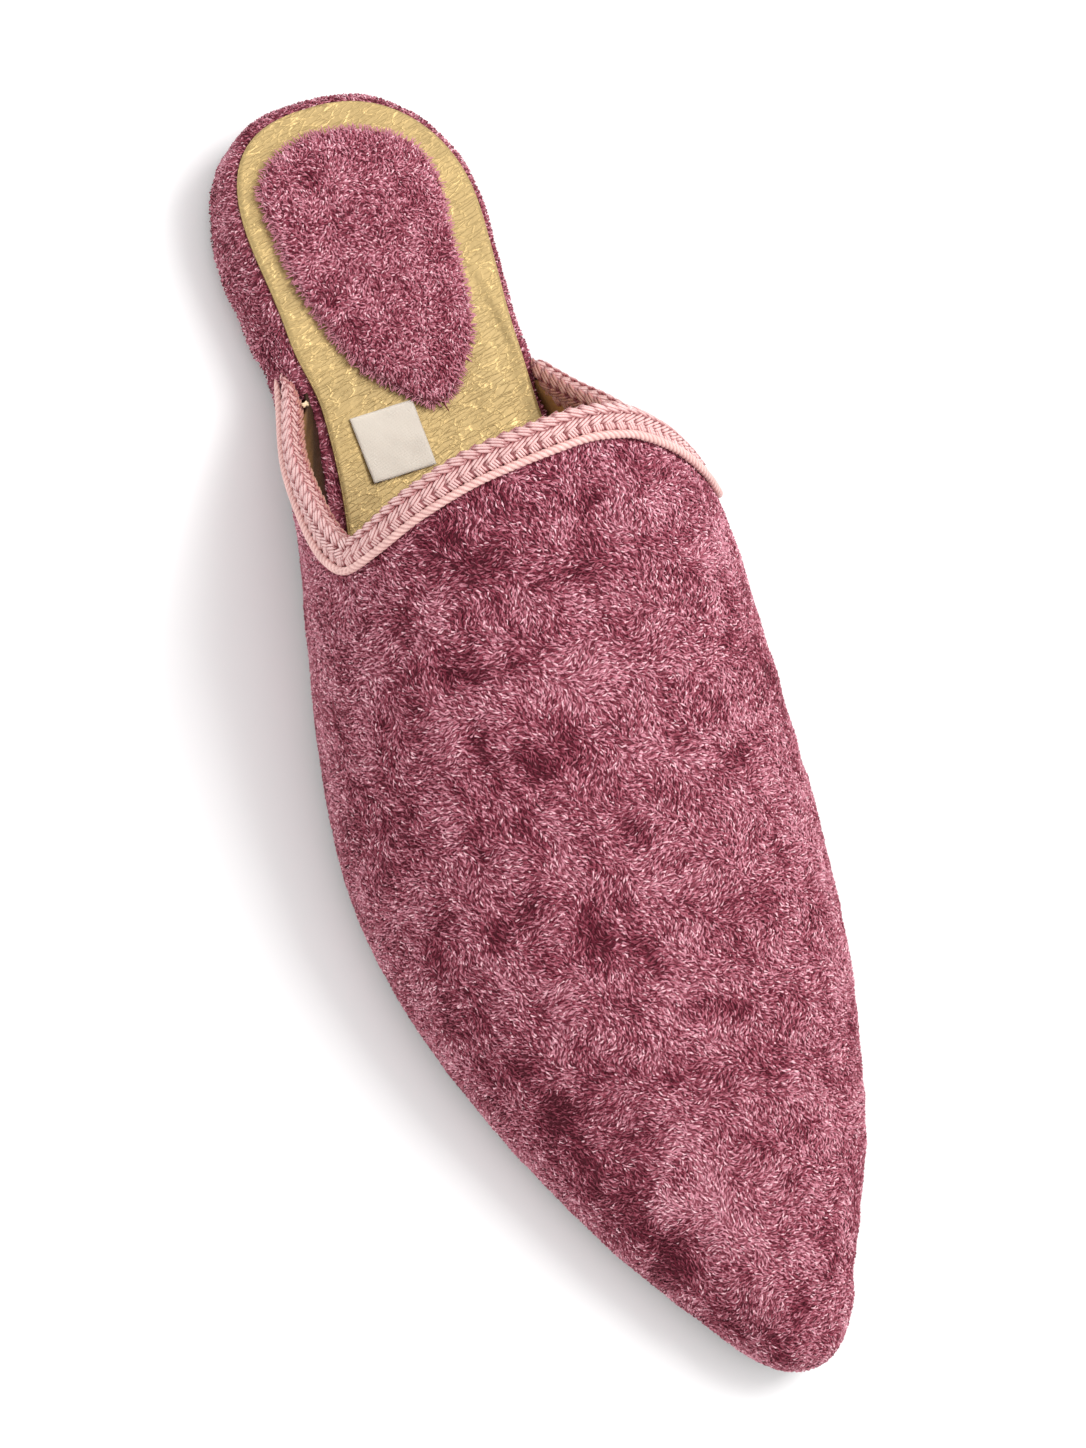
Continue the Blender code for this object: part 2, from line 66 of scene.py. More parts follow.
# The last: station, centre line, half width at the sole, lean outward on the lateral and medial
# side, height of the widest place, height of the ridge and shift of the ridge from the centre line.
LAST_COLUMNS = ("station", "centre", "half", "lean_lateral", "lean_medial", "wide", "ridge", "shift")
LAST_ROWS = (
    (0, 0.3, 27.6, 0.6, 0.6, 12.0, 84.0, 0.0),
    (30, 2.9, 27.4, 0.6, 0.6, 18.0, 80.0, 0.0),
    (55, 0.8, 26.2, 1.2, 1.0, 26.0, 76.2, 2.0),
    (68, -0.6, 27.3, 5.2, 1.4, 28.6, 73.9, 3.4),
    (80, -1.6, 29.6, 5.3, 2.6, 29.5, 71.5, 4.5),
    (105, -2.9, 36.4, 3.9, 7.4, 27.0, 65.6, 5.0),
    (130, -4.6, 42.2, 2.8, 6.0, 22.0, 59.0, 4.5),
    (155, -5.9, 45.5, 2.3, 3.8, 17.3, 52.0, 3.6),
    (180, -5.4, 44.8, 2.0, 2.5, 14.0, 45.0, 2.8),
    (205, -3.8, 40.3, 1.7, 1.8, 11.7, 37.8, 2.0),
    (230, -2.5, 32.4, 1.4, 1.4, 10.0, 30.6, 1.1),
    (248, -2.1, 24.5, 1.2, 1.2, 9.0, 25.4, 0.5),
    (260, -2.3, 18.1, 1.0, 1.0, 8.4, 22.0, 0.2),
    (268, -2.2, 15.6, 1.0, 1.0, 8.1, 20.0, 0.0),
    (280, -1.5, 14.6, 1.0, 1.0, 7.8, 18.0, 0.0),
)
SECTION_POWER = 0.84
SIDE_SHARE = 0.30

# The topline: place along the girth, from -1 at the lateral sole over 0 at the ridge to 1 at the
# medial sole, and the station of the upper's edge there.
TOPLINE_COLUMNS = ("girth", "edge")
TOPLINE_ROWS = (
    (-1.00, 51.0), (-0.88, 51.0), (-0.85, 54.0), (-0.82, 59.0), (-0.78, 66.5), (-0.72, 76.0), (-0.64, 86.0),
    (-0.57, 92.0), (-0.52, 94.4), (-0.46, 93.8), (-0.32, 91.2), (-0.16, 89.6), (0.00, 89.4), (0.16, 91.2),
    (0.32, 96.4), (0.46, 103.2), (0.52, 105.6), (0.57, 101.8), (0.64, 91.2), (0.70, 82.5), (0.77, 76.7),
    (0.83, 71.4), (0.88, 67.5), (1.00, 67.5),
)
UPPER_WALL = 2.0
VELVET_THICK = 1.1

# The lining: thickness, depth under the upper's outside, last station, how far its edge keeps back at
# the wings' feet, how far its foot lies inside the sole's outline, how much further at the lateral
# wing and over which stations, and the colour of its painted shade low inside.
LINING_THICK = 0.7
LINING_INSET = 1.25
LINING_FRONT = 271.0
LINING_BACK = 2.6
LINING_FOOT = 1.55
LINING_WING = 1.9
LINING_WING_RUN = (52, 62, 78, 94)
LINING_PAINTED_SHADE = (0.045, 0.020, 0.008)

# The sole, by station: lift of the whole sole off the floor, height of the platform's top above
# that lift, and how far the insole lies inside the sole's outline on the lateral and medial side.
SOLE_COLUMNS = ("station", "lift", "bed", "insole_lateral", "insole_medial")
SOLE_ROWS = (
    (0, 0.0, 16.5, 2.4, 2.4),
    (47, 0.0, 16.0, 2.4, 1.9),
    (62, 0.0, 15.4, 5.2, 2.3),
    (90, 1.2, 13.1, 7.0, 6.4),
    (130, 0.0, 9.2, 6.0, 6.0),
    (165, 0.0, 7.2, 5.0, 5.0),
    (215, 0.0, 6.8, 5.0, 5.0),
    (250, 0.9, 6.5, 5.0, 5.0),
    (280, 3.2, 6.3, 5.0, 5.0),
)
# Thickness of the outsole, the insole and the gold sheet that shows, the platform's rounded lip and its
# steps, the step beside the wings, and the soft bulge beside the lateral heel with its stations.
OUTSOLE_THICK = 3.0
OUTSOLE_INSET = 0.8
INSOLE_THICK = 1.2
INSOLE_SHEET = 0.85
LIP_INSET = 2.2
LIP_DROP = 3.0
SIDE_STEPS = 5
LIP_STEPS = 7
WING_TUCK = 2.4
WING_OPEN = 9.0
HEEL_BULGE = 1.9
HEEL_BULGE_RUN = (12, 30, 44, 52)
# Rims of the outsole from its underside up: inset and height.
OUTSOLE_ROWS = ((1.0, 0.0), (0.45, 0.12), (0.12, 0.42), (0.0, 0.9), (0.0, 2.3), (0.15, 2.8), (0.5, 3.0))
# The platform's velvet strip seen beside the insole: its last station and the share of its pile.
STRIP_END = 150
STRIP_PILE = 0.7

# The teardrop heel pad: station, centre and half width, with round ends.
PAD_COLUMNS = ("station", "centre", "half")
PAD_ROWS = ((9, -0.5, 15.6), (18, 1.4, 17.8), (25, 2.0, 18.5), (37, 1.2, 17.2), (47, 1.5, 15.4),
            (56, 2.0, 12.8), (60, 2.4, 10.2), (63, 2.7, 7.7), (66, 2.7, 4.9), (69, 2.2, 2.8))
PAD_BACK_RUN = 10.0
PAD_TIP_RUN = 3.0
PAD_RIM = 1.0
PAD_DOME = 2.2
PAD_STEPS = 16
# Fibres of the pad's frayed edge, and loose threads at its tip: sideways place, station, direction to
# the side and ahead, and length.
FRAY_COUNT = 900
FRAY_LENGTH = (1.5, 2.9)
LOOSE_ROWS = ((3.2, 70.0, 0.2, 0.98, 3.8), (0.1, 68.9, -0.3, 0.95, 2.0))
LOOSE_HEIGHT = 0.9
LOOSE_THICK = 0.3

# The label: side, thickness, the cloth that shows and its cells, place and turn in degrees.
LABEL_SIDE = 14.2
LABEL_THICK = 0.6
LABEL_SHEET = 0.42
LABEL_CELLS = 36
LABEL_STATION = 73.6
LABEL_OFFSET = -10.2
LABEL_TURN = 2.0

# The braid: width of its outer and inner leg, the outer leg's width at its ends, length of the tapers
# there, share of the girth left free at the sole, how deep its ends reach behind the platform, height
# that the inner leg keeps over the platform, its least width, gap to the upper and thickness.
BRAID_OUTER = 3.8
BRAID_INNER = 4.8
BRAID_END = 0.2
LATERAL_TAPER = 13.0
MEDIAL_TAPER = 3.5
BRAID_START = 0.12
BRAID_TUCK = 2.6
BRAID_CLEAR = 0.6
BRAID_LEAST = 0.3
BRAID_GAP = 0.3
BRAID_CORE = 0.5
# Colours of the band under the plait, painted shade that shows between the lobes, of the painted shade
# on the threads' sides and ends and in the cord's grooves, and of the painted shade on the inner leg,
# warmed as a painted reflection of the gold lining; and the yarn's filaments to the metre.
BRAID_PAINTED_SHADE = (0.36, 0.10, 0.11)
BRAID_HAIR = 2600
SATIN_PAINTED_SHADE = (0.40, 0.105, 0.11)
SATIN_INSIDE_PAINTED_SHADE = (0.58, 0.29, 0.20)
# Rows of the plait: leg of the braid, reach as a share of that leg or in millimetres on the fold,
# height over the upper, facing on the fold, slant to the edge, length of a lobe, number and width of
# its threads, their height, and start along the edge as a share of the pitch.
PLAIT_ROWS = (
    ("outer", 0.80, 0.80, 0, -66, 2.9, 4, 0.66, 0.90, 0.00),
    ("outer", 0.42, 0.92, 0, 26, 3.9, 3, 0.74, 1.00, 0.45),
    ("fold", -0.45, 0.55, 55, -26, 3.9, 3, 0.74, 1.00, 0.10),
    ("fold", -0.85, -1.00, 0, 26, 3.9, 3, 0.74, 1.00, 0.55),
    ("fold", -0.45, -2.55, -55, -26, 3.9, 3, 0.74, 1.00, 0.10),
    ("inner", 0.42, -2.92, 0, 26, 3.9, 3, 0.74, 1.00, 0.45),
    ("inner", 0.84, -2.80, 0, -66, 2.9, 4, 0.66, 0.90, 0.00),
)
THREAD_STEP = 0.84
THREAD_DROP = 0.32
THREAD_FACETS = 6
LOBE_TILT = math.radians(8)
# Small thread knot inside the lateral wing: sideways place, station and height, its crossed turns with
# their rise, and a turn's length, width and height.
KNOT_PLACE = (-25.3, 60.8, 19.2)
KNOT_TURNS = ((0.2, 0.1), (0.8, -0.3), (-0.5, 0.4))
KNOT_SIZE = (1.5, 0.7, 0.65)
KNOT_COLOUR = (0.88, 0.66, 0.42)
# The twisted cord: radius, gap to the braid, length of its tapered ends, facets, strands and filaments.
CORD_RADIUS = 0.86
CORD_GAP = 0.1
CORD_TAPER = 6.0
CORD_FACETS = 18
CORD_STRANDS = 3
CORD_HAIR = 3400

# Main creases of the crushed velvet: station, girth, heading from the toe's direction towards the
# medial side in degrees, half length, half width and depth; a ridge has a negative depth.
CREASE_ROWS = (
    (104, -0.27, 0, 5.5, 2.8, 0.55), (104.5, 0.00, 90, 5.5, 2.4, 0.50), (116.5, -0.03, 90, 6.5, 2.2, 0.45),
    (116, 0.20, 60, 4.0, 2.4, 0.40), (124.5, -0.30, 74, 9.0, 2.6, 0.55), (133, 0.20, 0, 4.5, 2.8, 0.50),
    (140, -0.25, 10, 4.5, 2.6, 0.45), (149, -0.12, 90, 6.5, 2.6, 0.65), (146, 0.40, 15, 8.0, 4.2, 0.75),
    (160, 0.20, 111, 12.0, 2.6, 0.60), (147, -0.58, 113, 12.0, 2.8, 0.55), (168, -0.62, 90, 4.5, 2.8, 0.45),
    (173, -0.28, 119, 9.0, 2.5, 0.55), (183, -0.13, 40, 7.0, 4.4, 0.80), (189, 0.20, 80, 4.5, 2.2, 0.40),
    (205, 0.00, 70, 6.5, 3.2, 0.55), (208.5, -0.25, 90, 7.0, 2.4, 0.45), (211, -0.44, 90, 6.0, 2.6, 0.45),
    (220.5, -0.28, 90, 4.5, 2.4, 0.45), (222, 0.42, 20, 5.5, 3.2, 0.55), (228, 0.27, 80, 5.0, 2.2, 0.45),
    (250, 0.38, 15, 8.0, 3.2, 0.60), (262, 0.28, 75, 6.0, 3.0, 0.50), (247, -0.42, 10, 9.0, 3.2, 0.50),
    (267, -0.60, 90, 6.0, 2.6, 0.40), (267, -0.10, 90, 5.0, 2.6, 0.40),
    (122, 0.27, 60, 6.0, 4.0, -0.35), (170, 0.33, 60, 9.0, 4.2, -0.40), (136, -0.03, 60, 6.0, 4.0, -0.30),
    (187, -0.30, 40, 6.5, 4.0, -0.30), (224, -0.15, 110, 6.0, 3.2, -0.30),
    (238, -0.28, 90, 7.0, 3.5, -0.35), (246, -0.17, 20, 8.0, 4.0, -0.35),
    (266, -0.22, 20, 6.0, 3.5, -0.30), (207, 0.45, 100, 10.0, 3.5, -0.30),
    (155, 0.19, 100, 6.0, 3.0, -0.30), (238, 0.27, 90, 6.0, 3.0, -0.30),
)
# Broad painted shade, or painted light with a negative depth, in the same columns; the rows low on the
# lateral side darken it where that side turns from the light.
PAINTED_SHADE_ROWS = (
    (105, -0.25, 60, 13.0, 8.0, 0.22), (114, -0.03, 20, 10.0, 6.0, 0.14), (122, -0.24, 90, 9.0, 7.0, 0.12),
    (146, -0.15, 85, 12.0, 6.0, 0.20), (181, -0.13, 30, 9.0, 7.0, 0.26), (159, -0.43, 20, 16.0, 7.0, 0.10),
    (193, -0.44, 10, 22.0, 7.0, 0.18), (222, -0.43, 10, 24.0, 7.0, 0.26), (250, -0.44, 10, 20.0, 6.0, 0.28),
    (136, -0.03, 80, 10.0, 8.0, -0.12), (175, 0.26, 20, 22.0, 9.0, -0.10),
    (243, -0.12, 15, 18.0, 8.0, -0.12), (118, 0.21, 30, 10.0, 8.0, -0.08),
)
# Folds of the gold insole: station, sideways place, heading, half length, half width and depth.
FOLD_ROWS = (
    (52, 20.5, 8, 17.0, 0.9, 0.28), (72, 15.0, -6, 16.0, 2.6, -0.35), (71, 19.5, -4, 18.0, 2.2, 0.30),
    (31, -21.0, 75, 4.5, 0.7, 0.20), (12, 14.0, 60, 6.0, 1.0, 0.18), (60, -16.0, 80, 6.0, 0.8, 0.20),
)
# Two nets of crinkles in the gold leather: stretch, turn in degrees, cells to the metre and thinness.
CRINKLE_ROWS = (((0.30, 1.0, 1.0), -8, 520.0, 16.0), ((0.26, 1.0, 1.0), -14, 1100.0, 9.0))
WEAVE_SCALE = 1240.0

# Unevenness, one row to each wave: size, wavelength and seed.
UPPER_WAVES = ((0.12, 11.0, 1), (0.08, 5.0, 2))
PLATFORM_WAVES = ((0.10, 7.0, 8),)
PAD_WAVES = ((0.16, 9.0, 9), (0.10, 4.5, 10))
INSOLE_WAVES = ((0.05, 14.0, 30), (0.035, 5.0, 31))
LABEL_WAVES = ((0.10, 16.0, 40), (0.05, 6.0, 41))
TONE_WAVES = ((0.12, 11.0, 3), (0.115, 4.6, 4))
LAY_WAVES = ((0.75, 17.0, 5), (0.45, 7.0, 6))

# Tone of the velvet, 0 dark to 1 light: its middle, fine mottle, how far creases darken it as painted
# shade and the cloth follows them, and what darkens the platform and the pad and lightens the pad's rim.
TONE = 0.56
MOTTLE = 0.10
CREASE_SHADE_PART = 0.72
CREASE_PART = 0.85
PLATFORM_CRUSH = 0.03
PAD_CRUSH = 0.02
RIM_LIGHT = 0.16
NAP_AHEAD = np.array((0.0, -1.0, 0.12))
# Nap of each cloth: turn from the toe's direction in degrees, swirl and unevenness of its tone.
NAPS = {"upper": (40, 0.85, 1.0), "platform": (80, 0.8, 1.0), "heel_pad": (10, 1.6, 0.7)}
# Pile of each cloth: share of the density, share of the fibre's length and scatter.
PILES = {"upper": (1.0, 1.0, 0.6), "platform": (1.0, 0.75, 0.7), "heel_pad": (1.35, 0.8, 0.7)}
# Shades of the pile, lit and shaded copies of one velvet colour: painted shade in the dark and deep
# fibres, painted light in the light fibres and painted highlights in the glint fibres. For each, the tone
# of the cloth that it stands for, how far it spreads to other tones, its share of the fibres and its
# roughness.
SHADES = {
    "dark": (0.0, 0.85, 0.72, 0.6),
    "deep": (0.28, 0.67, 0.84, 0.55),
    "middle": (0.58, 0.66, 0.74, 0.5),
    "light": (0.92, 0.76, 0.92, 0.42),
    "glint": (1.0, 0.86, 0.26, 0.34),
}
# Bends of the four kinds of fibre, as shares of its length.
FIBRE_BENDS = ((0.24, 0.10), (-0.24, -0.06), (0.04, 0.18), (-0.10, -0.22))

# The stage, in metres.
FLOOR_REACH = 6.0
KEY_PLACE = (0.62, 0.12, 0.98)
KEY_AHEAD = (-0.62, -0.12, -0.96)
CAMERA_PLACE = (-0.226165, -0.033079, 0.609738)
CAMERA_AIM = (-0.000262, 0.001321, 0.0200)


def column(rows, names, name):
    """First column of a table and one named column."""
    table = np.array(rows, float)
    return table[:, 0], table[:, names.index(name)]


def blend(xs, ys, tangents, at):
    """Cubic curve through points with given slopes."""
    at = np.clip(np.asarray(at, float), xs[0], xs[-1])
    i = np.clip(np.searchsorted(xs, at, side="right") - 1, 0, len(xs) - 2)
    step = xs[i + 1] - xs[i]
    u = (at - xs[i]) / step
    start = (2 * u**3 - 3 * u**2 + 1) * ys[i] + (u**3 - 2 * u**2 + u) * step * tangents[i]
    end = (3 * u**2 - 2 * u**3) * ys[i + 1] + (u**3 - u**2) * step * tangents[i + 1]
    return start + end


def curve(rows, names, name, at):
    """Curve through one column of a table that keeps within each pair of rows."""
    xs, ys = column(rows, names, name)
    slopes = np.diff(ys) / np.diff(xs)
    product = slopes[1:] * slopes[:-1]
    total = slopes[1:] + slopes[:-1]
    tangents = np.zeros_like(ys)
    tangents[1:-1] = np.where(product > 0, 2 * product / np.where(total == 0, 1, total), 0)
    tangents[0] = slopes[0]
    tangents[-1] = slopes[-1]
    return blend(xs, ys, tangents, at)


def spline(rows, names, name, at):
    """Smoothest cubic curve through one column of a table."""
    xs, ys = column(rows, names, name)
    steps = np.diff(xs)
    slopes = np.diff(ys) / steps
    count = len(xs)
    system = np.zeros((count, count))
    target = np.zeros(count)
    for i in range(1, count - 1):
        system[i, i - 1] = steps[i]
        system[i, i] = 2 * (steps[i - 1] + steps[i])
        system[i, i + 1] = steps[i - 1]
        target[i] = 3 * (steps[i] * slopes[i - 1] + steps[i - 1] * slopes[i])
    system[0, :2] = (2, 1)
    system[-1, -2:] = (1, 2)
    target[0] = 3 * slopes[0]
    target[-1] = 3 * slopes[-1]
    return blend(xs, ys, np.linalg.solve(system, target), at)


def last(name, at):
    """One column of the last's table at a station."""
    return spline(LAST_ROWS, LAST_COLUMNS, name, at)


def sole(name, at):
    """One column of the sole's table at a station."""
    return curve(SOLE_ROWS, SOLE_COLUMNS, name, at)


def lift_height(at):
    """Height of the outsole's underside."""
    return sole("lift", at)


def bed_height(at):
    """Height of the platform's top."""
    return sole("lift", at) + sole("bed", at)


def insole_top(at):
    """Height of the insole's top."""
    return bed_height(at) + GAP + INSOLE_THICK


def insole_inset(side, at):
    """How far the insole lies inside the outline on one side."""
    return float(sole("insole_lateral" if side < 0 else "insole_medial", at))


def smooth_step(low, high, value):
    """Soft switch from 0 below one value to 1 above another."""
    share = np.clip((value - low) / (high - low), 0, 1)
    return share * share * (3 - 2 * share)


def hump(run, value):
    """Soft rise over the first two of four values and fall over the others."""
    return smooth_step(run[0], run[1], value) * (1 - smooth_step(run[2], run[3], value))


def tip_round(at):
    """Factor that rounds the toe off to a tip."""
    share = np.clip((at - (LENGTH - TOE_RUN)) / TOE_RUN, 0, 1)
    return np.sqrt(1 - share**2)


def half_width(at):
    """Half width at the sole, rounded at the heel and at the toe."""
    share = np.clip((HEEL_RUN - at) / HEEL_RUN, 0, 1)
    heel_round = (1 - share**HEEL_POWER) ** (1 / HEEL_POWER)
    return last("half", at) * heel_round * tip_round(at)


def to_metres(x, at, z):
    """Point in metres from a sideways place, a station and a height."""
    x, at, z = np.broadcast_arrays(x, at, z)
    return np.stack([(x + CENTRE_SHIFT) * MM, (LENGTH / 2 - at) * MM, z * MM], -1)


def station_of(points):
    """Stations of points in metres."""
    return LENGTH / 2 - points[..., 1] / MM


def upper_surface(at, girth):
    """Outside of the upper; girth runs from -1 (lateral sole) over 0 (ridge) to 1 (medial sole)."""
    at, girth = np.broadcast_arrays(np.asarray(at, float), np.asarray(girth, float))
    lateral = girth < 0
    side = np.where(lateral, -1.0, 1.0)
    rise = 1 - np.abs(girth)
    tip = tip_round(at)
    middle = last("centre", at)
    lean = np.where(lateral, last("lean_lateral", at), last("lean_medial", at)) * tip
    foot = OUTSOLE_THICK + GAP
    wide_z = foot + (last("wide", at) - foot) * (0.55 + 0.45 * tip)
    top_z = wide_z + (last("ridge", at) - wide_z) * tip
    ridge_x = middle + last("shift", at) * tip
    low = np.clip(rise / SIDE_SHARE, 0, 1)
    angle = np.clip((rise - SIDE_SHARE) / (1 - SIDE_SHARE), 0, 1) * math.pi / 2
    across = np.cos(angle) ** SECTION_POWER
    up = np.sin(angle)
    base_x = middle + side * half_width(at)
    wide_x = base_x + side * lean
    low_x = base_x + side * lean * np.sin(low * math.pi / 2)
    x = np.where(rise < SIDE_SHARE, low_x, ridge_x + (wide_x - ridge_x) * across)
    z = np.where(rise < SIDE_SHARE, foot + (wide_z - foot) * low, wide_z + (top_z - wide_z) * up)
    return to_metres(x, at, z + sole("lift", at))


def upper_edge(girth):
    """Station of the upper's edge for each place along the girth."""
    return curve(TOPLINE_ROWS, TOPLINE_COLUMNS, "edge", girth)


def unit(vectors):
    """Vectors brought to unit length."""
    size = np.linalg.norm(vectors, axis=-1, keepdims=True)
    return vectors / np.maximum(size, 1e-12)


def travelled(line):
    """Distance from a line's start to each of its points."""
    return np.concatenate([[0], np.cumsum(np.linalg.norm(np.diff(line, axis=0), axis=1))])


def sample(stop, travel, values):
    """What a line's points hold at one distance along it."""
    return np.array([np.interp(stop, travel, values[:, k]) for k in range(3)])


def surface_frame(at, girth):
    """Point on the upper with its two surface directions and its outward normal."""
    point = upper_surface(at, girth)
    along = (upper_surface(at + 0.05, girth) - upper_surface(at - 0.05, girth)) / 0.1
    around = (upper_surface(at, girth + 0.001) - upper_surface(at, girth - 0.001)) / 0.002
    return point, along, around, unit(np.cross(along, around))


def walk(at, girth, direction, distance, steps=6):
    """Place reached on the upper by walking a distance straight ahead from each given place."""
    at = np.array(at, float)
    girth = np.array(girth, float)
    stride = np.broadcast_to(np.asarray(distance, float), at.shape) * MM / steps
    heading = direction
    for _ in range(steps):
        _, along, around, normal = surface_frame(at, girth)
        heading = unit(heading - normal * np.sum(heading * normal, -1, keepdims=True))
        aa = np.sum(along * along, -1)
        rr = np.sum(around * around, -1)
        ar = np.sum(along * around, -1)
        ha = np.sum(heading * along, -1)
        hr = np.sum(heading * around, -1)
        det = aa * rr - ar * ar
        at = at + stride * (ha * rr - hr * ar) / det
        girth = girth + stride * (hr * aa - ha * ar) / det
    return at, girth


def edge_frame(count):
    """Even places along the topline, down to the platform, and the braid's legs there."""
    girth = np.linspace(BRAID_START - 1, 1 - BRAID_START, 1600)
    at = upper_edge(girth)
    point = upper_surface(at, girth)
    keep = point[:, 2] / MM - bed_height(at) > -BRAID_TUCK
    girth = girth[keep]
    run = travelled(point[keep]) / MM
    even = np.linspace(0, run[-1], count)
    girth = np.interp(even, run, girth)
    at = upper_edge(girth)
    point, along, _, normal = surface_frame(at, girth)
    tangent = unit(np.gradient(point, axis=0))
    inward = np.cross(normal, tangent)
    inward = unit(inward * np.sign(np.sum(inward * along, -1, keepdims=True)))
    ease = np.minimum(even / LATERAL_TAPER, (even[-1] - even) / MEDIAL_TAPER)
    ease = np.sin(np.clip(ease, 0, 1) * math.pi / 2)
    outer = BRAID_END + (BRAID_OUTER - BRAID_END) * ease
    height = point[:, 2] / MM - bed_height(at)
    room = (height - BRAID_CLEAR) / np.maximum(-inward[:, 2], 0.25)
    inner = np.clip(np.minimum(outer + BRAID_INNER - BRAID_OUTER, room), BRAID_LEAST, None)
    return {"run": even, "at": at, "girth": girth, "point": point, "inward": inward, "normal": normal,
            "outer": outer, "inner": inner, "ease": ease}


def braid_line(edge, leg, reach, offset, tilt=0.0):
    """Line along the braid at a height over the upper, with the way that it faces.

    On the outer and inner legs, reach is a share of the leg; round the fold, it is in millimetres and
    tilt turns the facing towards the outside. The braid thins out at its ends.
    """
    ease = (0.2 + 0.8 * edge["ease"])[:, None]
    if leg == "fold":
        turn = math.radians(tilt)
        facing = edge["normal"] * math.sin(turn) - edge["inward"] * math.cos(turn)
        return edge["point"] + (edge["inward"] * reach + edge["normal"] * offset) * ease * MM, facing
    place, turn = walk(edge["at"], edge["girth"], edge["inward"], edge[leg] * reach)
    ground, _, _, out = surface_frame(place, turn)
    return ground + out * offset * ease * MM, out if leg == "outer" else -out


def outline_point(side, at, inset):
    """Place on the sole's outline, moved inwards square to it."""
    middle = last("centre", at)
    x = middle + side * half_width(at)
    if at <= 0:
        return float(middle), inset
    if at >= LENGTH:
        return float(middle), LENGTH - inset
    step = min(0.02, at / 2, (LENGTH - at) / 2)
    before = last("centre", at - step) + side * half_width(at - step)
    after = last("centre", at + step) + side * half_width(at + step)
    slope = (after - before) / (2 * step)
    size = math.hypot(1.0, slope)
    return float(x - side * inset / size), float(at + side * slope * inset / size)


def ripple(points, wave, seed, count=26):
    """Smooth uneven field in space with unit spread and a main wavelength in millimetres."""
    draw = np.random.default_rng(seed)
    heading = unit(draw.normal(size=(count, 3)))
    number = 2 * math.pi / (wave * MM) * draw.uniform(0.65, 1.5, count)
    phase = draw.uniform(0, 2 * math.pi, count)
    return np.sin(points @ (heading * number[:, None]).T + phase).sum(-1) * math.sqrt(2 / count)


def waves(points, rows):
    """Sum of uneven fields, one to a row."""
    return sum(size * ripple(points, wave, seed) for size, wave, seed in rows)


def mark(points, centre, first, second, heading, reach, width):
    """Soft long mark round a centre on a surface, from 0 far away to 1 in the middle."""
    turn = math.radians(heading)
    long_way = first * math.cos(turn) + second * math.sin(turn)
    short_way = second * math.cos(turn) - first * math.sin(turn)
    away = (points - centre) / MM
    return np.exp(-((away @ long_way / reach) ** 2) - (away @ short_way / width) ** 2
                  - (np.linalg.norm(away, axis=1) / (2.2 * reach)) ** 4)


def creases(points, rows):
    """Depth of the velvet's creases, or of its painted shade and light, at points on the upper."""
    depth = np.zeros(len(points))
    for station, girth, heading, reach, width, deep in rows:
        centre, along, around, _ = surface_frame(np.float64(station), np.float64(girth))
        depth += deep * mark(points, centre, unit(along), unit(around), heading, reach, width)
    return depth


def nearest(points, line):
    """Distance in millimetres from each point to a dense line of places, with the nearest place's index."""
    far = np.empty(len(points))
    index = np.empty(len(points), int)
    batch = 2000
    for start in range(0, len(points), batch):
        part = slice(start, start + batch)
        gap = np.linalg.norm(points[part, None] - line[None], axis=2)
        index[part] = gap.argmin(1)
        far[part] = gap.min(1) / MM
    return far, index


def grid_faces(rows, columns):
    """Faces of a sheet of points."""
    faces = []
    for i in range(rows - 1):
        for j in range(columns - 1):
            a = i * columns + j
            faces.append((a, a + 1, a + columns + 1, a + columns))
    return faces


def tube_faces(rings, count, closed_ends=True):
    """Faces of a tube of rings, with its ends closed."""
    faces = []
    for i in range(rings - 1):
        for j in range(count):
            k = (j + 1) % count
            faces.append((i * count + j, i * count + k, (i + 1) * count + k, (i + 1) * count + j))
    if closed_ends:
        faces.append(tuple(range(count - 1, -1, -1)))
        faces.append(tuple((rings - 1) * count + j for j in range(count)))
    return faces


def cap_faces(count, start):
    """Cross faces over a closed rim, pairing its lateral and medial stations."""
    half = count // 2
    faces = [(start, start + 1, start + count - 1)]
    for i in range(1, half - 1):
        faces.append((start + i, start + i + 1, start + count - i - 1, start + count - i))
    faces.append((start + half - 1, start + half, start + half + 1))
    return faces


def make_mesh(name, points, faces, weld=True):
    """Smooth mesh from points and faces, welded and turned outwards."""
    mesh = bpy.data.meshes.new(name)
    mesh.from_pydata(np.asarray(points, float).reshape(-1, 3).tolist(), [], faces)
    work = bmesh.new()
    work.from_mesh(mesh)
    if weld:
        bmesh.ops.remove_doubles(work, verts=work.verts, dist=1e-6)
    bmesh.ops.recalc_face_normals(work, faces=work.faces)
    work.to_mesh(mesh)
    work.free()
    mesh.polygons.foreach_set("use_smooth", np.ones(len(mesh.polygons), bool))
    return mesh


def points_of(mesh):
    """A mesh's points."""
    values = np.empty(len(mesh.vertices) * 3)
    mesh.vertices.foreach_get("co", values)
    return values.reshape(-1, 3)


def normals_of(mesh):
    """A mesh's point normals."""
    values = np.empty(len(mesh.vertices) * 3)
    mesh.vertex_normals.foreach_get("vector", values)
    return values.reshape(-1, 3)


def move_points(mesh, points):
    """Give a mesh new places for its points."""
    mesh.vertices.foreach_set("co", np.asarray(points, np.float32).ravel())
    mesh.update()


def push(mesh, points, height):
    """Move points along their normals by a height in millimetres for each."""
    move_points(mesh, points + normals_of(mesh) * (height * MM)[:, None])


def face_up(mesh):
    """Turn a sheet's faces to the top."""
    if normals_of(mesh)[:, 2].mean() < 0:
        mesh.flip_normals()


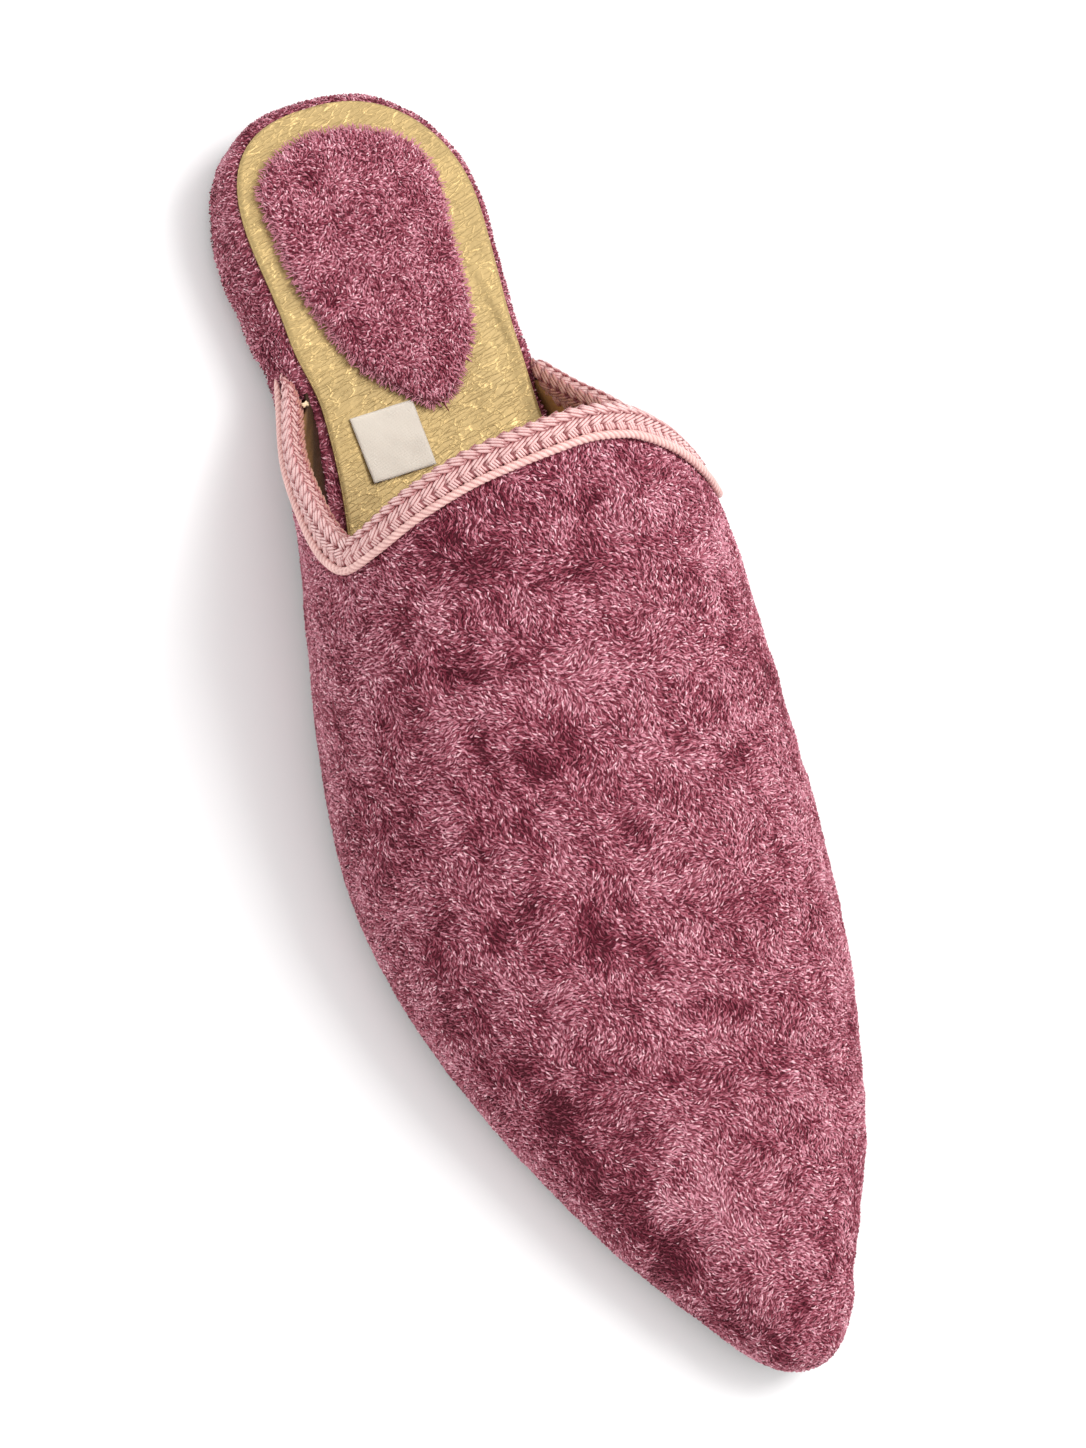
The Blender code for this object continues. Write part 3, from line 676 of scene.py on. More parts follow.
def rim_edges(mesh):
    """Point pairs of the edges that have one face."""
    seen = {}
    for face in mesh.polygons:
        for key in face.edge_keys:
            seen[key] = seen.get(key, 0) + 1
    return [key for key, uses in seen.items() if uses == 1]


def store(mesh, name, values):
    """Keep a number or a direction for each point of a mesh."""
    values = np.asarray(values, np.float32)
    kind, field = ("FLOAT", "value") if values.ndim == 1 else ("FLOAT_VECTOR", "vector")
    layer = mesh.attributes.new(name, kind, "POINT")
    layer.data.foreach_set(field, values.ravel())


def show(name, mesh, material=None):
    """New object at the origin for a mesh."""
    if material is not None:
        mesh.materials.clear()
        mesh.materials.append(material)
    item = bpy.data.objects.new(name, mesh)
    bpy.context.scene.collection.objects.link(item)
    return item


def dress(item, slot, *nodes):
    """Fix a finished piece to the shoe's body and hide the solids that it stands for; its finish is not
    used.
    """
    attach(item, "root")
    if nodes:
        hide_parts(*nodes)
    return item


def settle(item):
    """Turn an object with modifiers into a plain mesh."""
    depsgraph = bpy.context.evaluated_depsgraph_get()
    mesh = bpy.data.meshes.new_from_object(item.evaluated_get(depsgraph), depsgraph=depsgraph)
    item.modifiers.clear()
    return mesh


def thicken(item, thickness):
    """Give a sheet a wall on its inner side and keep the result."""
    wall = item.modifiers.new("wall", "SOLIDIFY")
    wall.thickness = thickness * MM
    wall.offset = -1.0
    old = item.data
    item.data = settle(item)
    bpy.data.meshes.remove(old)


class Amount:
    """A number in a node tree, so that node maths reads as plain expressions."""

    def __init__(self, wiring, socket):
        self.wiring = wiring
        self.socket = socket

    def _with(self, operation, first, second=0.0):
        node = self.wiring.add("ShaderNodeMath", {"operation": operation}, {0: first, 1: second})
        return Amount(self.wiring, node.outputs[0])

    def __add__(self, other):
        return self._with("ADD", self, other)

    def __radd__(self, other):
        return self._with("ADD", other, self)

    def __sub__(self, other):
        return self._with("SUBTRACT", self, other)

    def __rsub__(self, other):
        return self._with("SUBTRACT", other, self)

    def __mul__(self, other):
        return self._with("MULTIPLY", self, other)

    def __rmul__(self, other):
        return self._with("MULTIPLY", other, self)

    def __truediv__(self, other):
        return self._with("DIVIDE", self, other)

    def __rtruediv__(self, other):
        return self._with("DIVIDE", other, self)

    def __pow__(self, other):
        return self._with("POWER", self, other)

    def __abs__(self):
        return self._with("ABSOLUTE", self)

    def sine(self):
        """Sine of this number."""
        return self._with("SINE", self)

    def between(self, low, high):
        """This number kept between two others."""
        return self._with("MINIMUM", self._with("MAXIMUM", self, low), high)


class Wiring:
    """One node tree and the single way to add nodes to it."""

    def __init__(self, tree):
        self.tree = tree

    def add(self, kind, settings=None, sockets=None):
        """New node with its settings made first and its sockets linked or set."""
        node = self.tree.nodes.new(kind)
        for name, value in (settings or {}).items():
            if name == "stops":
                self._stops(node, value)
            else:
                setattr(node, name, value)
        for key, value in (sockets or {}).items():
            self.join(value, node.inputs[key])
        return node

    def join(self, value, socket):
        """Link a value to a socket, or set the socket to a plain value."""
        if isinstance(value, Amount):
            value = value.socket
        if isinstance(value, bpy.types.NodeSocket):
            self.tree.links.new(value, socket)
        else:
            socket.default_value = value

    def number(self, kind, settings=None, sockets=None, output=0):
        """New node read as a number."""
        return Amount(self, self.add(kind, settings, sockets).outputs[output])

    @staticmethod
    def _stops(node, stops):
        ramp = node.color_ramp
        while len(ramp.elements) < len(stops):
            ramp.elements.new(0.5)
        for element, (place, colour) in zip(ramp.elements, stops):
            element.position = place
            element.color = (*colour, 1.0)


class Finish(Wiring):
    """A material with a Principled shader and short ways to its usual patterns."""

    def __init__(self, name, **constants):
        self.material = bpy.data.materials.new(name)
        self.material.use_nodes = True
        super().__init__(self.material.node_tree)
        self.shader = self.tree.nodes["Principled BSDF"]
        for socket, value in constants.items():
            self.shader.inputs[socket.replace("_", " ")].default_value = value

    def place(self, scale=(1, 1, 1), turn=(0, 0, 0)):
        """Object coordinates, stretched and turned."""
        spot = self.add("ShaderNodeTexCoord").outputs["Object"]
        turned = self.add("ShaderNodeMapping", None, {"Vector": spot, "Rotation": turn})
        return self.add("ShaderNodeMapping", None, {"Vector": turned.outputs[0], "Scale": scale}).outputs[0]

    def noise(self, spot, per_metre, detail=2.0, distortion=0.0):
        """Cloudy pattern with so many features to the metre."""
        return self.number("ShaderNodeTexNoise", None, {
            "Vector": spot, "Scale": per_metre, "Detail": detail, "Distortion": distortion})

    def cells(self, spot, per_metre, feature="F1"):
        """Distance pattern of scattered cells."""
        return self.number("ShaderNodeTexVoronoi", {"feature": feature},
                           {"Vector": spot, "Scale": per_metre})

    def ridges(self, spot, per_metre, thin):
        """Net of thin wandering ridges."""
        drift = self.add("ShaderNodeTexNoise", None,
                         {"Vector": spot, "Scale": per_metre * 0.7, "Detail": 2.0})
        push = self.add("ShaderNodeVectorMath", {"operation": "SCALE"},
                        {0: drift.outputs["Color"], "Scale": 1.1 / per_metre})
        moved = self.add("ShaderNodeVectorMath", {"operation": "ADD"}, {0: spot, 1: push.outputs[0]})
        return (1 - self.cells(moved.outputs[0], per_metre, "DISTANCE_TO_EDGE") * thin).between(0, 1)

    def stored(self, name):
        """A number that the mesh keeps for each point."""
        return self.number("ShaderNodeAttribute", {"attribute_name": name}, None, "Fac")

    def ramp(self, amount, stops):
        """Colour by amount, from a few stops."""
        return self.add("ShaderNodeValToRGB", {"stops": stops}, {"Fac": amount}).outputs["Color"]

    def mix(self, share, first, second):
        """Two colours mixed by a share."""
        node = self.add("ShaderNodeMix", {"data_type": "RGBA"}, {0: share, 6: first, 7: second})
        return node.outputs[2]

    def surface(self, **sockets):
        """Link patterns to the shader's own sockets."""
        for name, value in sockets.items():
            self.join(value, self.shader.inputs[name.replace("_", " ")])

    def relief(self, height, depth):
        """Fine relief of a depth in millimetres."""
        bump = self.add("ShaderNodeBump", None, {"Strength": 1.0, "Distance": depth * MM, "Height": height})
        self.surface(Normal=bump.outputs[0])


def faded(colour, share):
    """Colour made darker or lighter by a share."""
    return tuple(min(part * share, 1.0) for part in colour)


def opaque(colour):
    """Colour with a full fourth part, as sockets take it."""
    return (*colour, 1.0)


def velvet_ground(velvet):
    """Velvet's backing between its fibres in painted shade: crushed patches and short streaks of nap."""
    finish = Finish("velvet_ground", Sheen_Weight=0.1, Sheen_Roughness=0.45,
                    Sheen_Tint=opaque(velvet.light), Specular_IOR_Level=0.2)
    nap = finish.noise(finish.place((1.0, 0.38, 0.7), (0, 0, math.radians(40))), 1500, 3.0, 0.9)
    curl = finish.noise(finish.place(), 900, 2.0, 1.6)
    tone = finish.stored("tone")
    shade = (tone * 0.8 + (nap - 0.5) * 1.2 + (curl - 0.5) * 0.5 - 0.1).between(0, 1)
    colour = finish.ramp(shade, ((0.0, faded(velvet.dark, 0.7)), (0.5, velvet.deep), (1.0, velvet.middle)))
    finish.surface(Base_Color=colour, Roughness=0.9 - shade * 0.25)
    finish.relief(nap + curl * 0.6, 0.5)
    return finish.material


def velvet_fibre(name, colour, roughness):
    """Glossy pile yarn of one shade."""
    finish = Finish(name, Base_Color=opaque(colour), Roughness=roughness, Specular_IOR_Level=0.5,
                    Specular_Tint=opaque(faded(colour, 1.8)))
    return finish.material


def satin_thread(name, colour, strand, gloss, shade=None):
    """Satin yarn with fine filaments and uneven dye; stored painted shade darkens grooves and inner rows.
    """
    finish = Finish(name, Specular_IOR_Level=0.8, Sheen_Weight=0.15, Sheen_Roughness=0.3)
    dye = finish.noise(finish.place(), 420, 2.0)
    hair = finish.noise(finish.place(), strand, 1.0, 0.6)
    tint = finish.ramp((dye * 0.9 + (hair - 0.5) * 0.7).between(0, 1),
                       ((0.15, faded(colour, 0.84)), (0.5, colour), (0.85, faded(colour, 1.2))))
    # Painted shade on the rows that face inwards, warmed as a painted reflection of the gold lining.
    tint = finish.mix(finish.stored("inside"), tint, opaque(SATIN_INSIDE_PAINTED_SHADE))
    if shade:
        # Painted shade on the threads' sides and ends and in the cord's grooves.
        tint = finish.mix(finish.stored(shade), tint, opaque(SATIN_PAINTED_SHADE))
    finish.surface(Base_Color=tint, Roughness=gloss + hair * 0.18)
    finish.relief(hair, 0.12)
    return finish.material


def crinkled_gold(colour):
    """Metallic leather with long fine crinkles across, a net of finer ones and a painted highlight on each.
    """
    finish = Finish("crinkled_gold", Specular_IOR_Level=0.4)
    patch = finish.noise(finish.place(), 110, 1.0)
    lines = [finish.ridges(finish.place(stretch, (0, 0, math.radians(turn))), per_metre, thin)
             for stretch, turn, per_metre, thin in CRINKLE_ROWS]
    long_lines = lines[0] * ((patch - 0.28) * 5).between(0, 1)
    fine = lines[1] * ((0.74 - patch) * 5).between(0.4, 1)
    grain = finish.noise(finish.place(), 1700, 2.0)
    cloud = finish.noise(finish.place(), 70, 2.0)
    # The crinkles lighten the base colour as a painted highlight; cloud and grain are the leather's uneven
    # tone.
    shade = (long_lines * 0.34 + fine * 0.26 + cloud * 0.36 + grain * 0.20).between(0, 1)
    finish.surface(Base_Color=finish.ramp(shade, ((0.12, faded(colour, 0.80)), (0.36, colour),
                                                  (0.85, faded(colour, 1.5)))),
                   Metallic=0.4 + cloud * 0.15, Roughness=0.48 - long_lines * 0.12)
    finish.relief(long_lines * 0.45 + fine * 0.42 + grain * 0.25, 0.12)
    return finish.material


def smooth_gold(colour):
    """Lining leather with fine pores and a dull shine, darkened low inside by painted shade."""
    finish = Finish("lining_gold", Specular_IOR_Level=0.45)
    cloud = finish.noise(finish.place(), 60, 3.0)
    pores = finish.cells(finish.place(), 2200)
    shade = (cloud * 0.8 + pores * 0.3).between(0, 1)
    tint = finish.ramp(shade, ((0.2, faded(colour, 0.75)), (0.8, faded(colour, 1.15))))
    # Painted shade mixed in where the stored depth is high, low inside the shoe.
    finish.surface(Base_Color=finish.mix(finish.stored("depth"), tint, opaque(LINING_PAINTED_SHADE)),
                   Metallic=0.3 + cloud * 0.1, Roughness=0.42 + pores * 0.2)
    finish.relief(pores, 0.06)
    return finish.material


def label_weave(colour):
    """Fine plain weave of an undyed label."""
    finish = Finish("label_weave", Sheen_Weight=0.2, Sheen_Roughness=0.5)
    weft = finish.number("ShaderNodeTexWave", {"bands_direction": "X"},
                         {"Vector": finish.place(), "Scale": WEAVE_SCALE, "Distortion": 0.6})
    warp = finish.number("ShaderNodeTexWave", {"bands_direction": "Y"},
                         {"Vector": finish.place(), "Scale": WEAVE_SCALE, "Distortion": 0.6})
    cloth = weft * 0.5 + warp * 0.5
    stain = finish.noise(finish.place(), 160, 3.0)
    shade = (cloth * 0.3 + stain * 0.7).between(0, 1)
    finish.surface(Base_Color=finish.ramp(shade, ((0.2, faded(colour, 0.92)), (0.8, colour))),
                   Roughness=0.75 + cloth * 0.15)
    finish.relief(cloth, 0.08)
    return finish.material


def sole_leather(colour):
    """Dark plain leather with scuffs."""
    finish = Finish("sole_leather", Specular_IOR_Level=0.4)
    grain = finish.cells(finish.place(), 900)
    scuff = finish.noise(finish.place((1, 0.25, 1)), 240, 4.0)
    shade = (grain * 0.4 + scuff * 0.6).between(0, 1)
    finish.surface(Base_Color=finish.ramp(shade, ((0.2, faded(colour, 0.7)), (0.55, colour),
                                                  (0.9, faded(colour, 2.0)))),
                   Roughness=0.62 + scuff * 0.25)
    finish.relief(grain, 0.15)
    return finish.material


class Kit(Wiring):
    """A Geometry Nodes tree with named inputs, set on an object and made a plain mesh."""

    def __init__(self, name, inputs):
        super().__init__(bpy.data.node_groups.new(name, "GeometryNodeTree"))
        face = self.tree.interface
        face.new_socket(name="Geometry", in_out="INPUT", socket_type="NodeSocketGeometry")
        face.new_socket(name="Geometry", in_out="OUTPUT", socket_type="NodeSocketGeometry")
        self.keys = {}
        for label, kind in inputs.items():
            socket = face.new_socket(name=label, in_out="INPUT", socket_type="NodeSocket" + kind)
            self.keys[label] = socket.identifier
        self.given = self.add("NodeGroupInput").outputs
        self.result = self.add("NodeGroupOutput").inputs[0]

    def input(self, label):
        """A number that the tree is given."""
        return Amount(self, self.given[label])

    def stored(self, name, kind="FLOAT"):
        """Value that the mesh keeps for each point."""
        node = self.add("GeometryNodeInputNamedAttribute", {"data_type": kind}, {"Name": name})
        return node.outputs[0]

    def random(self, low, high, seed):
        """Random number for each point."""
        return self.number("FunctionNodeRandomValue", {"data_type": "FLOAT"},
                           {2: low, 3: high, "Seed": seed}, 1)

    def vector(self, x, y, z):
        """Three numbers as a vector."""
        return self.add("ShaderNodeCombineXYZ", None, {0: x, 1: y, 2: z}).outputs[0]

    def part(self, kind, index):
        """One part of a vector that each point has."""
        node = self.add("ShaderNodeSeparateXYZ", None, {0: self.add(kind).outputs[0]})
        return Amount(self, node.outputs[index])

    def close(self, geometry):
        """Realize the instances, give them the material and end the tree."""
        real = self.add("GeometryNodeRealizeInstances", None, {0: geometry})
        done = self.add("GeometryNodeSetMaterial", None,
                        {0: real.outputs[0], "Material": self.given["Material"]})
        self.join(done.outputs[0], self.result)

    def grow(self, item, **values):
        """Mesh that the tree makes on an object with these inputs."""
        modifier = item.modifiers.new("kit", "NODES")
        modifier.node_group = self.tree
        for label, value in values.items():
            modifier[self.keys[label.replace("_", " ")]] = value
        mesh = settle(item)
        keep = {"position", "material_index", "sharp_face", "groove", "inside"}
        for layer in [x.name for x in mesh.attributes if x.name not in keep and not x.name.startswith(".")]:
            mesh.attributes.remove(mesh.attributes[layer])
        return mesh


def pile_kit():
    """Tree that grows curled pile fibres where the cloth's stored tone asks for one shade."""
    kit = Kit("velvet_pile", {"Density": "Float", "Seed": "Int", "Length": "Float", "Width": "Float",
                              "Lift": "Float", "Tone": "Float", "Spread": "Float", "Scatter": "Float",
                              "Material": "Material"})
    tone = Amount(kit, kit.stored("tone"))
    share = (1 - abs(tone - kit.input("Tone")) / kit.input("Spread")).between(0, 1)
    density = share * kit.input("Density") * Amount(kit, kit.stored("pile"))
    cloth = kit.add("GeometryNodeDistributePointsOnFaces", {"distribute_method": "RANDOM"},
                    {"Mesh": kit.given["Geometry"], "Density": density, "Seed": kit.given["Seed"]})
    basis = kit.add("FunctionNodeAxesToRotation", {"primary_axis": "Z", "secondary_axis": "X"},
                    {0: cloth.outputs["Normal"], 1: kit.stored("lay", "FLOAT_VECTOR")})
    scatter = kit.input("Scatter")
    stand = ((0.42 - tone) * 2).between(0, 1) * -0.8
    sway = kit.vector(kit.random(-0.25, 0.25, 11), kit.random(-0.3, 0.15, 12) + stand,
                      kit.random(-1, 1, 13) * scatter)
    turned = kit.add("FunctionNodeEulerToRotation", None, {0: sway})
    swayed = kit.add("FunctionNodeRotateRotation", {"rotation_space": "LOCAL"},
                     {0: basis.outputs[0], 1: turned.outputs[0]})
    fibres = kit.add("GeometryNodeJoinGeometry")
    length = kit.input("Length")
    taper = kit.number("GeometryNodeSplineParameter") * math.pi
    ridge = kit.add("GeometryNodeCurveArc", None, {
        "Resolution": 3, "Radius": kit.input("Width") * 0.5,
        "Start Angle": math.pi, "Sweep Angle": math.pi})
    for first, second in FIBRE_BENDS:
        line = kit.add("GeometryNodeCurvePrimitiveBezierSegment", None, {
            "Resolution": 2,
            "Start": kit.vector(length * -0.5, 0.0, length * -0.05),
            "Start Handle": kit.vector(length * -0.2, length * first, kit.input("Lift") * 1.4),
            "End Handle": kit.vector(length * 0.2, length * second, kit.input("Lift") * 1.4),
            "End": kit.vector(length * 0.5, 0.0, length * -0.02)})
        plain = kit.add("GeometryNodeResampleCurve", {"mode": "EVALUATED"}, {0: line.outputs[0]})
        thin = kit.add("GeometryNodeSetCurveRadius", None,
                       {0: plain.outputs[0], "Radius": taper.sine().between(0, 1)})
        level_turn = kit.add("GeometryNodeSetCurveNormal", {"mode": "Z_UP"}, {0: thin.outputs[0]})
        yarn = kit.add("GeometryNodeCurveToMesh", None,
                       {0: level_turn.outputs[0], 1: ridge.outputs[0],
                        "Scale": kit.add("GeometryNodeInputRadius").outputs[0]})
        shut = kit.add("GeometryNodeMergeByDistance", None, {0: yarn.outputs[0], "Distance": 1e-5})
        soft = kit.add("GeometryNodeSetShadeSmooth", None, {0: shut.outputs[0]})
        one = kit.add("GeometryNodeGeometryToInstance", None, {0: soft.outputs[0]})
        kit.tree.links.new(one.outputs[0], fibres.inputs[0])
    size = kit.random(0.7, 1.25, 14)
    pick = kit.add("FunctionNodeRandomValue", {"data_type": "INT"}, {4: 0, 5: 3, "Seed": 15})
    grown = kit.add("GeometryNodeInstanceOnPoints", None, {
        "Points": cloth.outputs["Points"], "Instance": fibres.outputs[0], "Pick Instance": True,
        "Instance Index": pick.outputs[2], "Rotation": swayed.outputs[0],
        "Scale": kit.vector(size, size, size)})
    kit.close(grown.outputs[0])
    return kit


def strand_kit():
    """Tree that lays one plump strand of yarn on every stored place."""
    kit = Kit("braid_strands", {"Facets": "Int", "Bow": "Float", "Material": "Material"})
    points = kit.add("GeometryNodeMeshToPoints", None, {0: kit.given["Geometry"]})
    basis = kit.add("FunctionNodeAxesToRotation", {"primary_axis": "Z", "secondary_axis": "X"},
                    {0: kit.stored("out", "FLOAT_VECTOR"), 1: kit.stored("run", "FLOAT_VECTOR")})
    bow = kit.input("Bow")
    line = kit.add("GeometryNodeCurveQuadraticBezier", None, {
        "Resolution": 5, "Start": kit.vector(-0.5, 0.0, bow * -1), "Middle": kit.vector(0.05, 0.0, bow),
        "End": kit.vector(0.5, 0.0, bow * -1)})
    swell = (kit.number("GeometryNodeSplineParameter") * math.pi).sine().between(0, 1) ** 0.4
    plump = kit.add("GeometryNodeSetCurveRadius", None, {0: line.outputs[0], "Radius": swell})
    wire = kit.add("GeometryNodeCurvePrimitiveCircle", None,
                   {"Resolution": kit.given["Facets"], "Radius": 0.5})
    yarn = kit.add("GeometryNodeCurveToMesh", None, {
        0: plump.outputs[0], 1: wire.outputs[0],
        "Scale": kit.add("GeometryNodeInputRadius").outputs[0]})
    shut = kit.add("GeometryNodeMergeByDistance", None, {0: yarn.outputs[0], "Distance": 1e-4})
    # Painted shade on each thread: darker at its ends and on its sides and underside, lighter along its top
    # where the light falls.
    painted_end_shade = abs(kit.part("GeometryNodeInputPosition", 0) * 2).between(0, 1) ** 3
    top = kit.part("GeometryNodeInputNormal", 2).between(0, 1) ** 1.3
    shaded = kit.add("GeometryNodeStoreNamedAttribute", {"data_type": "FLOAT"},
                     {0: shut.outputs[0], "Name": "groove", "Value": 1 - top * (1 - painted_end_shade)})
    soft = kit.add("GeometryNodeSetShadeSmooth", None, {0: shaded.outputs[0]})
    laid = kit.add("GeometryNodeInstanceOnPoints", None, {
        "Points": points.outputs[0], "Instance": soft.outputs[0], "Rotation": basis.outputs[0],
        "Scale": kit.stored("size", "FLOAT_VECTOR")})
    kit.close(laid.outputs[0])
    return kit


def lay_strands(name, strands, facets, bow, material):
    """Object with one strand for each given place, direction, facing and size."""
    places, runs, outs, sizes, *inside = (np.array(part) for part in strands)
    spots = bpy.data.meshes.new(name + "_places")
    spots.from_pydata(places.tolist(), [], [])
    store(spots, "run", runs)
    store(spots, "out", outs)
    store(spots, "size", sizes)
    for part in inside:
        store(spots, "inside", part)
    holder = show(name + "_places", spots)
    mesh = strand_kit().grow(holder, Facets=facets, Bow=bow, Material=material)
    bpy.data.objects.remove(holder, do_unlink=True)
    return show(name, mesh)


def nap(mesh, name, pile, crush_and_painted_shade):
    """Store the velvet's tone, the lay of its fibres and how thick they stand on a cloth's points."""
    base_turn, swirl, uneven = NAPS[name]
    points = points_of(mesh)
    normals = normals_of(mesh)
    mottle = np.random.default_rng(7).normal(0, MOTTLE, len(points))
    # What is subtracted holds the painted shade and light of the upper's creases and broad rows.
    tone = TONE + waves(points, TONE_WAVES) * uneven + mottle - crush_and_painted_shade
    store(mesh, "tone", np.clip(tone, 0, 1))
    ahead = unit(NAP_AHEAD - normals * (normals @ NAP_AHEAD)[:, None])
    aside = np.cross(normals, ahead)
    turn = math.radians(base_turn) + swirl * waves(points, LAY_WAVES)
    store(mesh, "lay", ahead * np.cos(turn)[:, None] + aside * np.sin(turn)[:, None])
    store(mesh, "pile", pile)


def grow_pile(cloth, name, velvet):
    """Grow all the shades of fibre on a cloth and fix them to the shoe."""
    thickness, size, scatter = PILES[name]
    kit = pile_kit()
    for number, (shade, (tone, spread, share, _)) in enumerate(SHADES.items()):
        mesh = kit.grow(cloth, Density=velvet.fibre_density * share * thickness / MM**2,
                        Seed=20 + number, Length=velvet.fibre_length * size, Width=velvet.fibre_width,
                        Lift=velvet.fibre_lift, Tone=tone, Spread=spread, Scatter=scatter,
                        Material=bpy.data.materials["velvet_" + shade])
        if not len(mesh.polygons):
            raise RuntimeError(name + " grew no " + shade + " fibres")
        dress(show(name + "_pile_" + shade, mesh), "velvet")


def upper_cloth():
    """Outside of the upper as a fine sheet with its creases, its crushed unevenness and its painted shade
    and light.
    """
    girth = np.linspace(-1, 1, 129)
    edge = upper_edge(girth)
    tip = 1 - (1 - np.linspace(0, 1, 22)) ** 2 * 0.1
    share = np.concatenate([np.linspace(0, 0.9, 120)[:-1], tip])
    at = edge[None, :] + (LENGTH - edge[None, :]) * share[:, None]
    grid = upper_surface(at, np.broadcast_to(girth, at.shape))
    mesh = make_mesh("upper_velvet", grid, grid_faces(len(share), len(girth)))
    points = points_of(mesh)
    if np.sum(normals_of(mesh)[:, 2] * (points[:, 2] - 0.02)) < 0:
        mesh.flip_normals()
    topline = edge_frame(500)
    away, index = nearest(points, topline["point"])
    clear = away - topline["outer"][index] - CORD_GAP - 2 * CORD_RADIUS
    station = station_of(points)
    height = points[:, 2] / MM - lift_height(station)
    ease = smooth_step(0.2, 6.0, clear) * smooth_step(4.0, 9.0, height)
    ease = ease * smooth_step(0, 12, LENGTH - station)
    deep = creases(points, CREASE_ROWS)
    push(mesh, points, (waves(points, UPPER_WAVES) - CREASE_PART * deep) * ease)
    pile = smooth_step(-0.6, 0.2, clear) * smooth_step(3.4, 4.2, height)
    # The creases and the broad rows darken the tone as painted shade, and lighten it as painted light where
    # a row's depth is negative.
    nap(mesh, "upper", pile, CREASE_SHADE_PART * deep * ease + creases(points, PAINTED_SHADE_ROWS))
    return mesh


def lining_sheet():
    """Lining inside the upper, its foot tucked against the platform and its painted shade stored as depth.
    """
    girth = np.linspace(-0.995, 0.995, 91)
    edge = upper_edge(girth) + GAP + LINING_BACK * smooth_step(0.78, 0.86, np.abs(girth))
    share = np.linspace(0, 1, 44)
    at = edge[None, :] + (LINING_FRONT - edge[None, :]) * share[:, None]
    turn = np.broadcast_to(girth, at.shape)
    point, _, _, normal = surface_frame(at, turn)
    point = point - normal * LINING_INSET * MM
    above = point[..., 2] / MM - bed_height(at)
    tuck = smooth_step(-1.5, 7.0, -above + 5.5) * (1 - smooth_step(95, 130, at))
    onto = LINING_FOOT + LINING_WING * hump(LINING_WING_RUN, at) * (turn < 0)
    foot = last("centre", at) + np.sign(turn) * (half_width(at) - onto)
    point[..., 0] = point[..., 0] * (1 - tuck) + (foot + CENTRE_SHIFT) * MM * tuck
    mesh = make_mesh("upper_lining", point, grid_faces(len(share), len(girth)), weld=False)
    # Painted shade low inside the lining: strong on the lateral side, gentler on the medial side.
    medial = 0.6 * smooth_step(0.0, 9.0, 5.0 - above)
    store(mesh, "depth", np.where(turn < 0, smooth_step(-1.5, 2.4, 5.0 - above), medial).ravel())
    return mesh


def sheet_rims(levels, stations):
    """Stacked rims of the sole, each with its inset and height; gives points, count and rim data."""
    points = []
    data = []
    for inset, height in levels:
        for side, order in ((-1, stations[-1]), (1, stations[1][::-1])):
            for at, step in order:
                if side > 0 and (at <= 0 or at >= LENGTH):
                    continue
                x, place = outline_point(side, at, step + inset(side, at))
                points.append(to_metres(x, place, height(place)))
                data.append((at, step))
    return np.array(points), len(points) // len(levels), np.array(data)


def sole_stations():
    """Stations closer together round the heel and the toe."""
    heel = HEEL_RUN * (1 - np.cos(np.linspace(0, math.pi / 2, 22)))
    toe = LENGTH - TOE_RUN * (1 - np.cos(np.linspace(0, math.pi / 2, 20)))[::-1]
    return heel, toe


def stepped(stations, step):
    """Stations with one step inwards for all of them."""
    return [(float(at), step) for at in stations]


def plain_stations():
    """The same stations on both sides."""
    heel, toe = sole_stations()
    both = stepped(np.concatenate([heel, np.linspace(HEEL_RUN, LENGTH - TOE_RUN, 84)[1:-1], toe]), 0.0)
    return {-1: both, 1: both}


def bulge(side, at):
    """How far the velvet swells out beside the heel."""
    return float(HEEL_BULGE * hump(HEEL_BULGE_RUN, at)) if side < 0 else 0.0


def slope(start, end, rebate):
    """Stations over which the step beside a wing opens to its full width."""
    return [(float(at), float(rebate * smooth_step(start, min(start + WING_OPEN, end), at)))
            for at in np.linspace(start, end, 11)]


def rebate_stations():
    """Stations with a step on each side where the wing's wall begins."""
    heel, toe = sole_stations()
    rebate = UPPER_WALL + 1.5 * GAP
    lateral_end = TOPLINE_ROWS[0][1] + WING_TUCK
    medial_end = TOPLINE_ROWS[-1][1]
    back = stepped(np.concatenate([heel, np.linspace(HEEL_RUN, 49.6, 8)[1:]]), 0.0)
    front = stepped(np.concatenate([np.linspace(75, LENGTH - TOE_RUN, 62)[:-1], toe]), rebate)
    waist = stepped(np.linspace(51.5, medial_end - 1, 9), 0.0)
    return {-1: back + slope(lateral_end, 73.5, rebate) + front,
            1: back + waist + slope(medial_end, 74.5, rebate) + front}


def stacked(name, stations, levels):
    """Closed slab from stacked rims; gives its mesh, its count of points to a rim and their data."""
    points, count, data = sheet_rims(levels, stations)
    faces = tube_faces(len(levels), count, closed_ends=False)
    faces += [tuple(reversed(face)) for face in cap_faces(count, 0)]
    faces += cap_faces(count, (len(levels) - 1) * count)
    return make_mesh(name, points, faces, weld=False), count, data


def level(inset, height):
    """Rim with an even inset."""
    return (lambda side, at: inset), height


def side_level(share):
    """Rim at a share of the platform's side, from its foot to its lip."""
    foot = OUTSOLE_THICK + GAP
    arch = math.sin(math.pi * (0.25 + 0.75 * share))
    return (lambda side, at: -bulge(side, at) * arch,
            lambda at: (lift_height(at) + foot) * (1 - share) + (bed_height(at) - LIP_DROP) * share)


def lip_level(share):
    """Rim at a share of the platform's rounded lip."""
    angle = math.pi / 2 * share
    drop = LIP_DROP * (1 - math.sin(angle))
    return level(LIP_INSET * (1 - math.cos(angle)), lambda at: bed_height(at) - drop)


